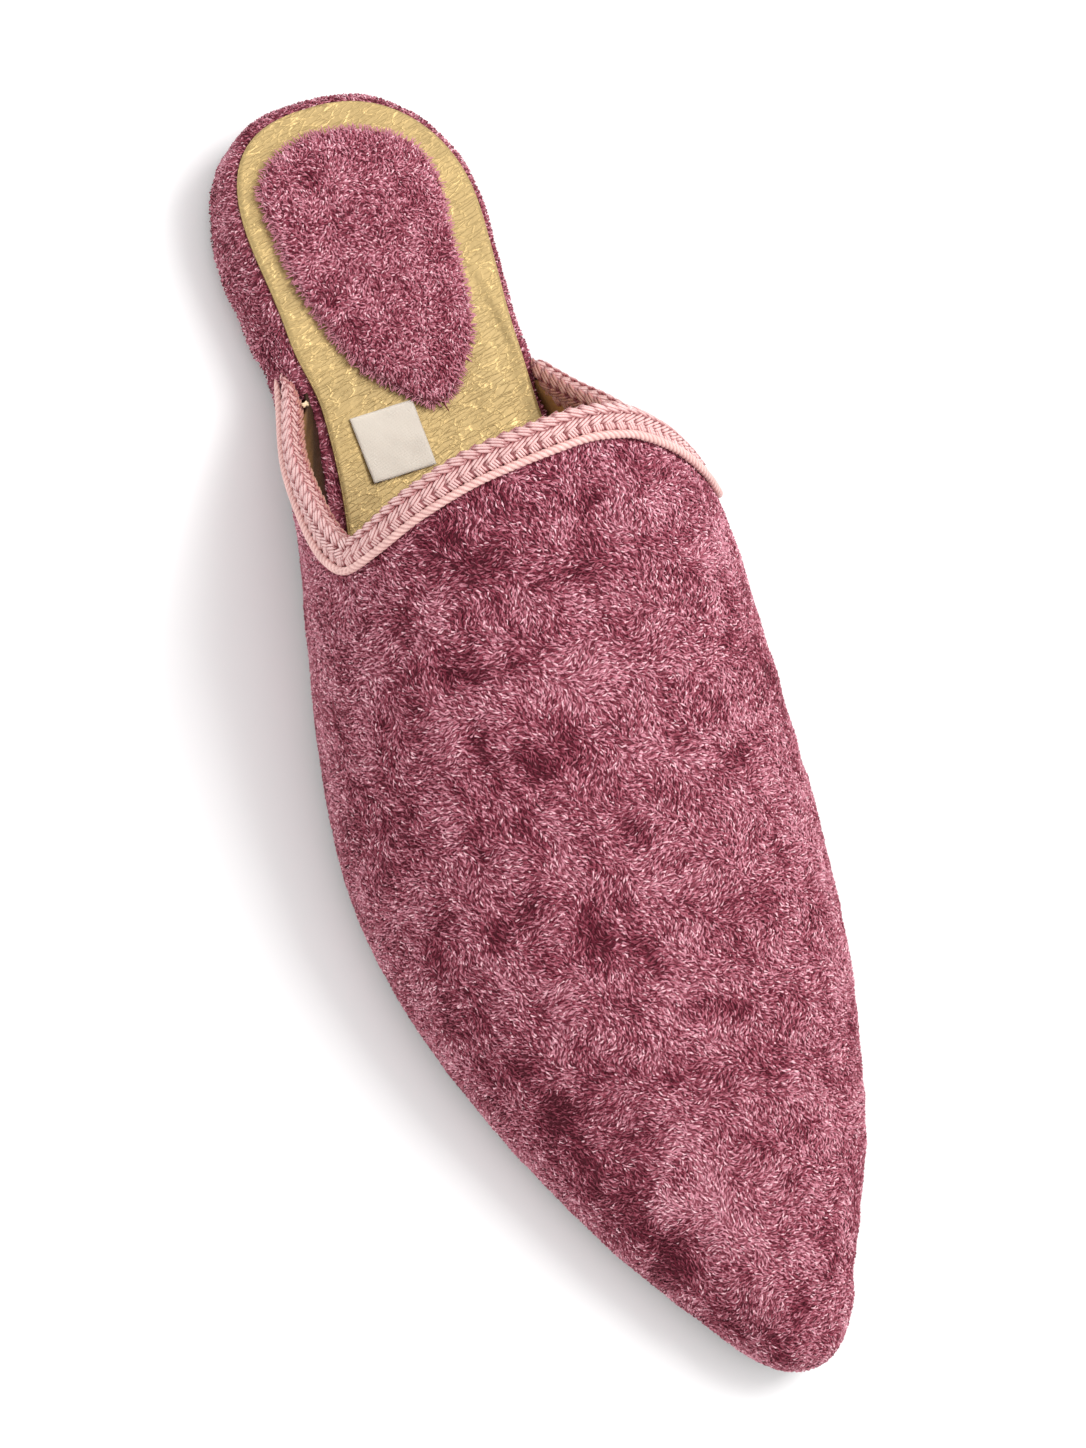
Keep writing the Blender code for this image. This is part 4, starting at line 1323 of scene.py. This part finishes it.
def platform_cloth():
    """Velvet round the platform, uneven where it is seen and bare where the upper covers it."""
    levels = [side_level(i / SIDE_STEPS) for i in range(SIDE_STEPS)]
    levels += [lip_level(i / LIP_STEPS) for i in range(LIP_STEPS + 1)]
    levels.append((lambda side, at: max(insole_inset(side, at) + 0.6, LIP_INSET + 0.3), bed_height))
    mesh, count, data = stacked("platform_velvet", rebate_stations(), levels)
    points = points_of(mesh)
    rim = np.arange(len(points)) // count
    hidden = data[:, 1] > 0
    strip = hidden & (rim >= SIDE_STEPS + 4) & (data[:, 0] < STRIP_END)
    pile = np.where(hidden, np.where(strip, STRIP_PILE, 0.0), 1.0) * (rim < len(levels) - 1)
    height = points[:, 2] / MM - lift_height(station_of(points)) - OUTSOLE_THICK - GAP
    push(mesh, points, waves(points, PLATFORM_WAVES) * ~hidden)
    nap(mesh, "platform", pile * smooth_step(0.2, 1.0, height), PLATFORM_CRUSH)
    return mesh


def insole_sheet():
    """Top of the insole with its folds and unevenness, turned down at its rim."""
    heel, toe = sole_stations()
    order = np.concatenate([heel, np.linspace(HEEL_RUN, 140, 90)[1:],
                            np.linspace(140, LENGTH - TOE_RUN, 24)[1:-1], toe])
    share = np.sin(np.linspace(-math.pi / 2, math.pi / 2, 49))
    share = np.sign(share) * np.abs(share) ** 0.85
    u = (share + 1) / 2
    rows = []
    for at in order:
        lateral, back = outline_point(-1, at, insole_inset(-1, at))
        medial, front = outline_point(1, at, insole_inset(1, at))
        place = back * (1 - u) + front * u
        rows.append(to_metres(lateral * (1 - u) + medial * u, place, insole_top(place)))
    mesh = make_mesh("insole_gold", rows, grid_faces(len(order), len(share)))
    face_up(mesh)
    points = points_of(mesh)
    height = waves(points, INSOLE_WAVES)
    for station, across, heading, reach, width, depth in FOLD_ROWS:
        centre = to_metres(across, station, insole_top(station))
        height -= depth * mark(points, centre, AHEAD, ASIDE, heading, reach, width)
    away, _ = nearest(points, points[np.unique(rim_edges(mesh))])
    height = np.minimum(height, 0.12) * smooth_step(0.0, 3.0, away)
    points[:, 2] += (height - 0.3 * (1 - smooth_step(0.0, 0.7, away))) * MM
    move_points(mesh, points)
    return mesh


def pad_half(at):
    """Half width of the pad with its round back and tip."""
    back = np.clip((PAD_ROWS[0][0] + PAD_BACK_RUN - at) / PAD_BACK_RUN, 0, 1)
    tip = np.clip((at - PAD_ROWS[-1][0] + PAD_TIP_RUN) / PAD_TIP_RUN, 0, 1)
    return curve(PAD_ROWS, PAD_COLUMNS, "half", at) * np.sqrt(1 - back**2) * np.sqrt(1 - tip**2)


def pad_outline():
    """Sideways places and stations round the pad."""
    back = PAD_ROWS[0][0] + PAD_BACK_RUN * (1 - np.cos(np.linspace(0, math.pi / 2, 12)))
    tip = PAD_ROWS[-1][0] - PAD_TIP_RUN * (1 - np.cos(np.linspace(0, math.pi / 2, 8)))[::-1]
    at = np.concatenate([back, np.linspace(back[-1], tip[0], 34)[1:-1], tip])
    centre = curve(PAD_ROWS, PAD_COLUMNS, "centre", at)
    x = np.concatenate([centre - pad_half(at), (centre + pad_half(at))[-2:0:-1]])
    return x, np.concatenate([at, at[-2:0:-1]])


def pad_cloth(x, at):
    """Domed velvet of the heel pad, its fibres combed outwards near the rim."""
    middle_at = (PAD_ROWS[0][0] + PAD_ROWS[-1][0]) / 2
    middle_x = float(curve(PAD_ROWS, PAD_COLUMNS, "centre", middle_at))
    shares = [(0.985, 0.0), (1.0, PAD_RIM * 0.5)]
    for i in range(PAD_STEPS):
        angle = math.pi / 2 * i / PAD_STEPS
        shares.append((math.cos(angle) ** 0.7, PAD_RIM + PAD_DOME * math.sin(angle) ** 0.9))
    rings = []
    for share, height in shares:
        place = middle_at + (at - middle_at) * share
        across = middle_x + (x - middle_x) * share
        rings.append(to_metres(across, place, insole_top(place) + GAP + height))
    peak = to_metres(middle_x, middle_at, insole_top(middle_at) + GAP + PAD_RIM + PAD_DOME)
    points = np.concatenate(rings + [peak[None]])
    count = len(x)
    top = len(points) - 1
    start = top - count
    faces = tube_faces(len(shares), count, closed_ends=False)
    faces += [tuple(reversed(face)) for face in cap_faces(count, 0)]
    faces += [(start + i, start + (i + 1) % count, top) for i in range(count)]
    mesh = make_mesh("heel_pad_velvet", points, faces, weld=False)
    rim = np.minimum(np.arange(len(points)) // count, len(shares))
    push(mesh, points, waves(points, PAD_WAVES) * smooth_step(1, 7, rim))
    nap(mesh, "heel_pad", smooth_step(0.5, 1.5, rim), PAD_CRUSH - RIM_LIGHT * (1 - smooth_step(3, 9, rim)))
    outward = unit((points - peak) * (1 - UP))
    edge = (1 - smooth_step(5, 10, rim))[:, None]
    lay = np.empty(len(points) * 3, np.float32)
    mesh.attributes["lay"].data.foreach_get("vector", lay)
    lay = unit(lay.reshape(-1, 3) * (1 - edge) + outward * edge)
    mesh.attributes["lay"].data.foreach_set("vector", lay.astype(np.float32).ravel())
    return mesh


def fray(x, at):
    """Fine fibres that stick out all round the pad's cut edge."""
    places, runs, outs, sizes = [], [], [], []
    draw = np.random.default_rng(61)
    line = to_metres(np.append(x, x[0]), np.append(at, at[0]), 0.0)
    travel = travelled(line)
    heading = np.gradient(line, axis=0)
    middle = line[:-1].mean(0)
    for stop in draw.uniform(0, travel[-1], FRAY_COUNT):
        spot = sample(stop, travel, line)
        ahead = unit(sample(stop, travel, heading))
        outward = np.cross(UP, ahead)
        outward = outward * np.sign(outward @ (spot - middle))
        run = unit(outward + ahead * draw.normal(0, 0.55) + UP * draw.uniform(-0.18, 0.3))
        length = draw.uniform(*FRAY_LENGTH)
        spot[2] = insole_top(station_of(spot)) * MM
        places.append(spot + run * length * 0.28 * MM + UP * (GAP + draw.uniform(0.15, 1.3)) * MM)
        runs.append(run)
        outs.append(UP)
        sizes.append((length * MM, draw.uniform(0.22, 0.34) * MM, 0.24 * MM))
    return places, runs, outs, sizes


def loose_threads():
    """Stray threads at the pad's tip."""
    places, runs, outs, sizes = [], [], [], []
    for across, station, side, ahead, length in LOOSE_ROWS:
        places.append(to_metres(across, station, insole_top(station) + LOOSE_HEIGHT))
        runs.append(unit(ASIDE * side + AHEAD * ahead))
        outs.append(UP)
        sizes.append(np.array((length, LOOSE_THICK, LOOSE_THICK)) * MM)
    return places, runs, outs, sizes


def label_sheet():
    """Top of the label, a little bowed and turned down at its edge."""
    turn = math.radians(LABEL_TURN)
    side = np.linspace(-0.5, 0.5, LABEL_CELLS + 1)
    u, v = np.meshgrid(side, side, indexing="ij")
    x = LABEL_OFFSET + (u * math.cos(turn) - v * math.sin(turn)) * LABEL_SIDE
    at = LABEL_STATION + (u * math.sin(turn) + v * math.cos(turn)) * LABEL_SIDE
    points = to_metres(x, at, insole_top(at) + GAP + LABEL_THICK).reshape(-1, 3)
    mesh = make_mesh("label_cloth", points, grid_faces(len(side), len(side)), weld=False)
    face_up(mesh)
    edge = np.maximum(np.abs(u), np.abs(v)).reshape(-1)
    points[:, 2] += (waves(points, LABEL_WAVES) - 0.22 * smooth_step(0.46, 0.5, edge)) * MM
    move_points(mesh, points)
    return mesh


def braid_core(edge):
    """Folded band under the plait, on both sides of the upper's wall."""
    near = BRAID_GAP
    far = BRAID_GAP + BRAID_CORE
    back = -UPPER_WALL - BRAID_GAP
    deep = back - BRAID_CORE
    section = (
        ("outer", 1.0, near), ("outer", 1.0, far * 0.8), ("outer", 0.8, far), ("outer", 0.3, far),
        ("fold", -far * 0.5, far * 0.75), ("fold", -far, (near + deep) / 2),
        ("fold", -far * 0.5, deep + far * 0.25), ("inner", 0.3, deep), ("inner", 0.8, deep),
        ("inner", 1.0, deep + 0.2), ("inner", 1.0, back), ("inner", 0.4, back), ("fold", -near, back),
        ("fold", -near, near), ("outer", 0.4, near),
    )
    lines = [braid_line(edge, leg, reach, offset)[0] for leg, reach, offset in section]
    return make_mesh("braid_band", np.stack(lines, 1), tube_faces(len(edge["at"]), len(section)))


def plait(edge, pitch):
    """Places, directions and sizes of all the threads of the plait."""
    places, runs, outs, sizes, inside = [], [], [], [], []
    draw = np.random.default_rng(51)
    for leg, reach, offset, tilt, slant, length, threads, width, height, start in PLAIT_ROWS:
        line, out = braid_line(edge, leg, reach, offset, tilt)
        outward = {"outer": 1.0, "fold": math.sin(math.radians(tilt)), "inner": -1.0}[leg]
        # Painted shade for the rows that face inwards, strongest on the inner leg.
        shade = min(max(0.2 - 0.8 * outward, 0.0), 0.9)
        ahead = unit(np.gradient(line, axis=0))
        travel = travelled(line) / MM
        full = edge["inner"] / BRAID_INNER if leg == "inner" else edge["ease"]
        for stop in np.arange(pitch * (0.2 + start), travel[-1] - pitch * 0.2, pitch):
            spot, way, up = (sample(stop, travel, part) for part in (line, ahead, out))
            room = float(np.clip(np.interp(stop, travel, full), 0.2, 1))
            most = 0.4 + 0.6 * room
            up = unit(up)
            way = unit(way - up * (way @ up))
            angle = math.radians(slant) + draw.normal(0, 0.05)
            run = way * math.cos(angle) + np.cross(up, way) * math.sin(angle)
            across = np.cross(up, run)
            tilted = run * math.cos(LOBE_TILT) + up * math.sin(LOBE_TILT)
            for thread in range(threads):
                shift = thread - (threads - 1) / 2
                edge_share = abs(shift) / (threads / 2)
                drop = -THREAD_DROP * edge_share**2 + draw.normal(0, 0.02)
                places.append(spot + across * shift * width * THREAD_STEP * room * MM + up * drop * MM
                              + run * draw.normal(0, 0.07) * MM)
                runs.append(tilted)
                outs.append(up)
                stretch = (1.0 - 0.16 * edge_share) * draw.uniform(0.95, 1.05) * most
                sizes.append((length * stretch * MM, width * (0.3 + 0.7 * room) * MM, height * most * MM))
                inside.append(shade)
    return places, runs, outs, sizes, inside


def knot_threads():
    """Crossed turns of the small knot."""
    turns = [unit(np.array((math.cos(turn), math.sin(turn), rise))) for turn, rise in KNOT_TURNS]
    count = len(turns)
    return [to_metres(*KNOT_PLACE)] * count, turns, [UP] * count, [np.array(KNOT_SIZE) * MM] * count


def twisted_cord(pitch):
    """Three-strand cord beside the braid, thinned out at its ends, with the painted shade of its grooves
    stored.
    """
    edge = edge_frame(1050)
    reach = edge["outer"] + CORD_GAP + CORD_RADIUS
    ground, _, _, out = surface_frame(*walk(edge["at"], edge["girth"], edge["inward"], reach))
    line = ground + out * (GAP + CORD_RADIUS) * MM
    ahead = unit(np.gradient(line, axis=0))
    aside = unit(np.cross(ahead, out))
    up = np.cross(aside, ahead)
    travel = travelled(line)
    around = np.linspace(0, 2 * math.pi, CORD_FACETS, endpoint=False)
    twist = 2 * math.pi * travel[:, None] / pitch
    swell = np.abs(np.cos(CORD_STRANDS / 2 * (around[None, :] + twist)))
    ends = np.clip(np.minimum(travel, travel[-1] - travel) / (CORD_TAPER * MM), 0.03, 1)[:, None]
    size = CORD_RADIUS * MM * (0.74 + 0.26 * swell) * np.sqrt(1 - (1 - ends) ** 2)
    points = (line[:, None] + aside[:, None] * (np.cos(around) * size)[..., None]
              + up[:, None] * (np.sin(around) * size)[..., None])
    mesh = make_mesh("edge_cord_twist", points, tube_faces(len(line), CORD_FACETS), weld=False)
    # Painted shade in the grooves between the cord's strands.
    store(mesh, "groove", 0.7 * (1 - smooth_step(0.1, 0.8, swell)).ravel())
    return mesh


# What the settings of one kind have in common.
COLOUR = {"size": 3, "min": 0.0, "max": 1.0, "subtype": "COLOR"}
FINE = {"subtype": "DISTANCE", "unit": "LENGTH", "precision": 5}


class BaboucheVelvet(bpy.types.PropertyGroup):
    """The pile and the shades of the velvet."""

    fibre_length: bpy.props.FloatProperty(
        name="Fibre length", description="Length of a pile fibre on the upper",
        default=0.0016, min=0.0005, max=0.006, **FINE)
    fibre_width: bpy.props.FloatProperty(
        name="Fibre width", description="Width of a pile fibre in its middle",
        default=0.00031, min=0.0001, max=0.001, **FINE)
    fibre_lift: bpy.props.FloatProperty(
        name="Fibre lift", description="Height of a fibre's arch over the cloth",
        default=0.00042, min=0.0, max=0.002, **FINE)
    fibre_density: bpy.props.FloatProperty(
        name="Fibre density", description="Fibres to the square millimetre where one shade is full",
        default=2.8, min=0.1, max=4.0)
    # Painted shade in the crushed and deep colours, painted light in the lying colour and painted
    # highlights in the glint colour; the middle colour is the velvet's own.
    dark: bpy.props.FloatVectorProperty(
        name="Crushed", description="Shade deep in the crushed pile",
        default=(0.138, 0.019, 0.034), **COLOUR)
    deep: bpy.props.FloatVectorProperty(
        name="Deep", description="Shade between the fibres", default=(0.278, 0.058, 0.087), **COLOUR)
    middle: bpy.props.FloatVectorProperty(
        name="Middle", description="Main shade of the pile", default=(0.425, 0.129, 0.172), **COLOUR)
    light: bpy.props.FloatVectorProperty(
        name="Lying", description="Shade where the pile lies down", default=(0.635, 0.260, 0.325), **COLOUR)
    glint: bpy.props.FloatVectorProperty(
        name="Glint", description="Shade of the brightest fibres", default=(0.92, 0.515, 0.580), **COLOUR)


class BaboucheTrim(bpy.types.PropertyGroup):
    """The braid and the cord round the throat."""

    braid: bpy.props.FloatVectorProperty(
        name="Braid", description="Colour of the braid's satin yarn", default=(0.99, 0.66, 0.63), **COLOUR)
    cord: bpy.props.FloatVectorProperty(
        name="Cord", description="Colour of the twisted cord", default=(0.91, 0.56, 0.51), **COLOUR)
    plait_pitch: bpy.props.FloatProperty(
        name="Plait pitch", description="Distance from one plait of the braid to the next",
        default=0.0028, min=0.001, max=0.01, **FINE)
    cord_pitch: bpy.props.FloatProperty(
        name="Twist pitch", description="Length of one full twist of the cord",
        default=0.0037, min=0.001, max=0.01, **FINE)


class BaboucheLeather(bpy.types.PropertyGroup):
    """The leathers and the label."""

    insole: bpy.props.FloatVectorProperty(
        name="Insole", description="Colour of the crinkled gold insole",
        default=(0.415, 0.292, 0.122), **COLOUR)
    lining: bpy.props.FloatVectorProperty(
        name="Lining", description="Colour of the smooth lining", default=(0.50, 0.245, 0.08), **COLOUR)
    label: bpy.props.FloatVectorProperty(
        name="Label", description="Colour of the woven label", default=(0.77, 0.695, 0.60), **COLOUR)
    outsole: bpy.props.FloatVectorProperty(
        name="Outsole", description="Colour of the leather under the shoe",
        default=(0.075, 0.045, 0.04), **COLOUR)


class BaboucheStage(bpy.types.PropertyGroup):
    """The floor, the light and the camera."""

    floor: bpy.props.FloatVectorProperty(
        name="Floor", description="Colour of the floor", default=(0.92, 0.92, 0.92), **COLOUR)
    daylight: bpy.props.FloatProperty(
        name="Daylight", description="Strength of the even light all round", default=1.06, min=0.0, max=5.0)
    key_power: bpy.props.FloatProperty(
        name="Key light", description="Power of the large soft light", default=7.4, min=0.0, max=200.0,
        subtype="POWER", unit="POWER")
    key_size: bpy.props.FloatProperty(
        name="Key size", description="Side of the large soft light", default=0.55, min=0.05, max=4.0,
        subtype="DISTANCE", unit="LENGTH")
    lens: bpy.props.FloatProperty(
        name="Lens", description="Focal length of the camera", default=0.07769, min=0.01, max=0.5,
        subtype="DISTANCE_CAMERA", unit="CAMERA", precision=5)
    roll: bpy.props.FloatProperty(
        name="Roll", description="Turn of the camera about its line of sight",
        default=math.radians(-23.074), subtype="ANGLE", unit="ROTATION")


class BABOUCHE_OT_upper(bpy.types.Operator):
    """Make the upper's crushed velvet, its pile and its gold lining."""

    bl_idname = "babouche.upper"
    bl_label = "Upper"

    def execute(self, context):
        cloth = show("upper_velvet", upper_cloth(), bpy.data.materials["velvet_ground"])
        grow_pile(cloth, "upper", context.scene.babouche_velvet)
        thicken(cloth, VELVET_THICK)
        dress(cloth, "velvet", "upper")
        lining = show("upper_lining", lining_sheet(), smooth_gold(context.scene.babouche_leather.lining))
        thicken(lining, LINING_THICK)
        dress(lining, "gold_leather")
        return {"FINISHED"}


class BABOUCHE_OT_platform(bpy.types.Operator):
    """Make the wedge wrapped in velvet, with its rounded lip and its pile."""

    bl_idname = "babouche.platform"
    bl_label = "Platform"

    def execute(self, context):
        cloth = show("platform_velvet", platform_cloth(), bpy.data.materials["velvet_ground"])
        grow_pile(cloth, "platform", context.scene.babouche_velvet)
        dress(cloth, "velvet", "platform")
        return {"FINISHED"}


class BABOUCHE_OT_insole(bpy.types.Operator):
    """Make the crinkled gold insole."""

    bl_idname = "babouche.insole"
    bl_label = "Insole"

    def execute(self, context):
        piece = show("insole_gold", insole_sheet(), crinkled_gold(context.scene.babouche_leather.insole))
        thicken(piece, INSOLE_SHEET)
        dress(piece, "gold_leather", "insole")
        return {"FINISHED"}


class BABOUCHE_OT_heel_pad(bpy.types.Operator):
    """Make the velvet heel pad with its frayed edge."""

    bl_idname = "babouche.heel_pad"
    bl_label = "Heel pad"

    def execute(self, context):
        x, at = pad_outline()
        cloth = show("heel_pad_velvet", pad_cloth(x, at), bpy.data.materials["velvet_ground"])
        grow_pile(cloth, "heel_pad", context.scene.babouche_velvet)
        dress(cloth, "velvet", "heel_pad")
        fringe = lay_strands("heel_pad_fringe", fray(x, at), 3, 0.08, bpy.data.materials["velvet_light"])
        dress(fringe, "velvet")
        loose = lay_strands("heel_pad_thread", loose_threads(), 5, 0.12, bpy.data.materials["velvet_dark"])
        dress(loose, "velvet")
        return {"FINISHED"}


class BABOUCHE_OT_label(bpy.types.Operator):
    """Make the bare woven label."""

    bl_idname = "babouche.label"
    bl_label = "Label"

    def execute(self, context):
        piece = show("label_cloth", label_sheet(), label_weave(context.scene.babouche_leather.label))
        thicken(piece, LABEL_SHEET)
        dress(piece, "label_cloth", "label")
        return {"FINISHED"}


class BABOUCHE_OT_braid(bpy.types.Operator):
    """Make the plaited braid folded over the upper's edge, and its small knot."""

    bl_idname = "babouche.braid"
    bl_label = "Braid"

    def execute(self, context):
        trim = context.scene.babouche_trim
        edge = edge_frame(320)
        # The band under the plait is coloured as painted shade that shows between the lobes.
        under = satin_thread("braid_shade", BRAID_PAINTED_SHADE, BRAID_HAIR, 0.5)
        dress(show("braid_band", braid_core(edge), under), "satin_braid", "collar_braid")
        yarn = satin_thread("braid_satin", trim.braid, BRAID_HAIR, 0.18, "groove")
        threads = plait(edge, trim.plait_pitch / MM)
        dress(lay_strands("braid_strands", threads, THREAD_FACETS, 0.42, yarn), "satin_braid")
        cream = satin_thread("knot_thread", KNOT_COLOUR, BRAID_HAIR, 0.3)
        dress(lay_strands("braid_knot", knot_threads(), THREAD_FACETS, 0.3, cream), "satin_braid")
        return {"FINISHED"}


class BABOUCHE_OT_edge_cord(bpy.types.Operator):
    """Make the thin twisted cord along the braid."""

    bl_idname = "babouche.edge_cord"
    bl_label = "Edge cord"

    def execute(self, context):
        trim = context.scene.babouche_trim
        satin = satin_thread("cord_satin", trim.cord, CORD_HAIR, 0.3, "groove")
        piece = show("edge_cord_twist", twisted_cord(trim.cord_pitch), satin)
        dress(piece, "cord_thread", "edge_cord")
        return {"FINISHED"}


class BABOUCHE_OT_outsole(bpy.types.Operator):
    """Make the thin dark outsole."""

    bl_idname = "babouche.outsole"
    bl_label = "Outsole"

    def execute(self, context):
        levels = [level(OUTSOLE_INSET + inset, lambda at, h=height: lift_height(at) + h)
                  for inset, height in OUTSOLE_ROWS]
        mesh, _, _ = stacked("outsole_leather", plain_stations(), levels)
        piece = show("outsole_leather", mesh, sole_leather(context.scene.babouche_leather.outsole))
        dress(piece, "dark_leather", "outsole")
        return {"FINISHED"}


class BABOUCHE_OT_stage(bpy.types.Operator):
    """Make the pale floor, the soft light and the camera."""

    bl_idname = "babouche.stage"
    bl_label = "Stage"

    def execute(self, context):
        scene = context.scene
        stage = scene.babouche_stage
        mesh = bpy.data.meshes.new("floor")
        corners = ((-1, -1), (1, -1), (1, 1), (-1, 1))
        mesh.from_pydata([(x * FLOOR_REACH, y * FLOOR_REACH, 0) for x, y in corners], [], [(0, 1, 2, 3)])
        paper = Finish("floor_paper", Base_Color=opaque(stage.floor), Roughness=0.9, Specular_IOR_Level=0.1)
        show("floor", mesh, paper.material)
        world = bpy.data.worlds.new("daylight")
        world.use_nodes = True
        sky = world.node_tree.nodes["Background"].inputs
        sky["Color"].default_value = (1.0, 1.0, 1.0, 1.0)
        sky["Strength"].default_value = stage.daylight
        scene.world = world
        lamp = bpy.data.lights.new("key", "AREA")
        lamp.shape = "SQUARE"
        lamp.size = stage.key_size
        lamp.energy = stage.key_power
        key = bpy.data.objects.new("key", lamp)
        key.location = KEY_PLACE
        key.rotation_euler = Vector(KEY_AHEAD).to_track_quat("-Z", "Y").to_euler()
        scene.collection.objects.link(key)
        data = bpy.data.cameras.new("camera")
        data.sensor_width = 36.0
        data.lens = stage.lens * 1000
        data.clip_start = 0.01
        camera = bpy.data.objects.new("camera", data)
        place = Vector(CAMERA_PLACE)
        ahead = (Vector(CAMERA_AIM) - place).normalized()
        level_up = (Vector((0, 1, 0)) - ahead * ahead.y).normalized()
        level_right = ahead.cross(level_up)
        right = level_right * math.cos(stage.roll) + level_up * math.sin(stage.roll)
        up = level_up * math.cos(stage.roll) - level_right * math.sin(stage.roll)
        turn = Matrix((right, up, -ahead)).transposed()
        camera.matrix_world = Matrix.Translation(place) @ turn.to_4x4()
        scene.collection.objects.link(camera)
        scene.camera = camera
        scene.view_settings.view_transform = "Standard"
        return {"FINISHED"}


class BABOUCHE_PT_panel(bpy.types.Panel):
    """Sizes, colours and steps of the babouche."""

    bl_idname = "BABOUCHE_PT_panel"
    bl_label = "Babouche"
    bl_space_type = "VIEW_3D"
    bl_region_type = "UI"
    bl_category = "Babouche"

    def draw(self, context):
        for name, group in GROUPS.items():
            box = self.layout.box()
            values = getattr(context.scene, name)
            for key in group.__annotations__:
                box.prop(values, key)
        for step in STEPS:
            self.layout.operator(step.bl_idname)


GROUPS = {
    "babouche_velvet": BaboucheVelvet,
    "babouche_trim": BaboucheTrim,
    "babouche_leather": BaboucheLeather,
    "babouche_stage": BaboucheStage,
}
STEPS = (BABOUCHE_OT_upper, BABOUCHE_OT_platform, BABOUCHE_OT_insole, BABOUCHE_OT_heel_pad,
         BABOUCHE_OT_label, BABOUCHE_OT_braid, BABOUCHE_OT_edge_cord, BABOUCHE_OT_outsole,
         BABOUCHE_OT_stage)
CLASSES = (*GROUPS.values(), *STEPS, BABOUCHE_PT_panel)


def register():
    """Register the classes and hang the settings on the scene."""
    for item in CLASSES:
        bpy.utils.register_class(item)
    for name, group in GROUPS.items():
        setattr(bpy.types.Scene, name, bpy.props.PointerProperty(type=group))


def unregister():
    """Take the settings and the classes away again."""
    for name in GROUPS:
        delattr(bpy.types.Scene, name)
    for item in reversed(CLASSES):
        bpy.utils.unregister_class(item)


def main():
    """Run every step in order."""
    register()
    velvet = bpy.context.scene.babouche_velvet
    velvet_ground(velvet)
    for shade, (_, _, _, roughness) in SHADES.items():
        velvet_fibre("velvet_" + shade, getattr(velvet, shade), roughness)
    bpy.ops.babouche.upper()
    bpy.ops.babouche.platform()
    bpy.ops.babouche.insole()
    bpy.ops.babouche.heel_pad()
    bpy.ops.babouche.label()
    bpy.ops.babouche.braid()
    bpy.ops.babouche.edge_cord()
    bpy.ops.babouche.outsole()
    bpy.ops.babouche.stage()


if __name__ == "__main__":
    main()
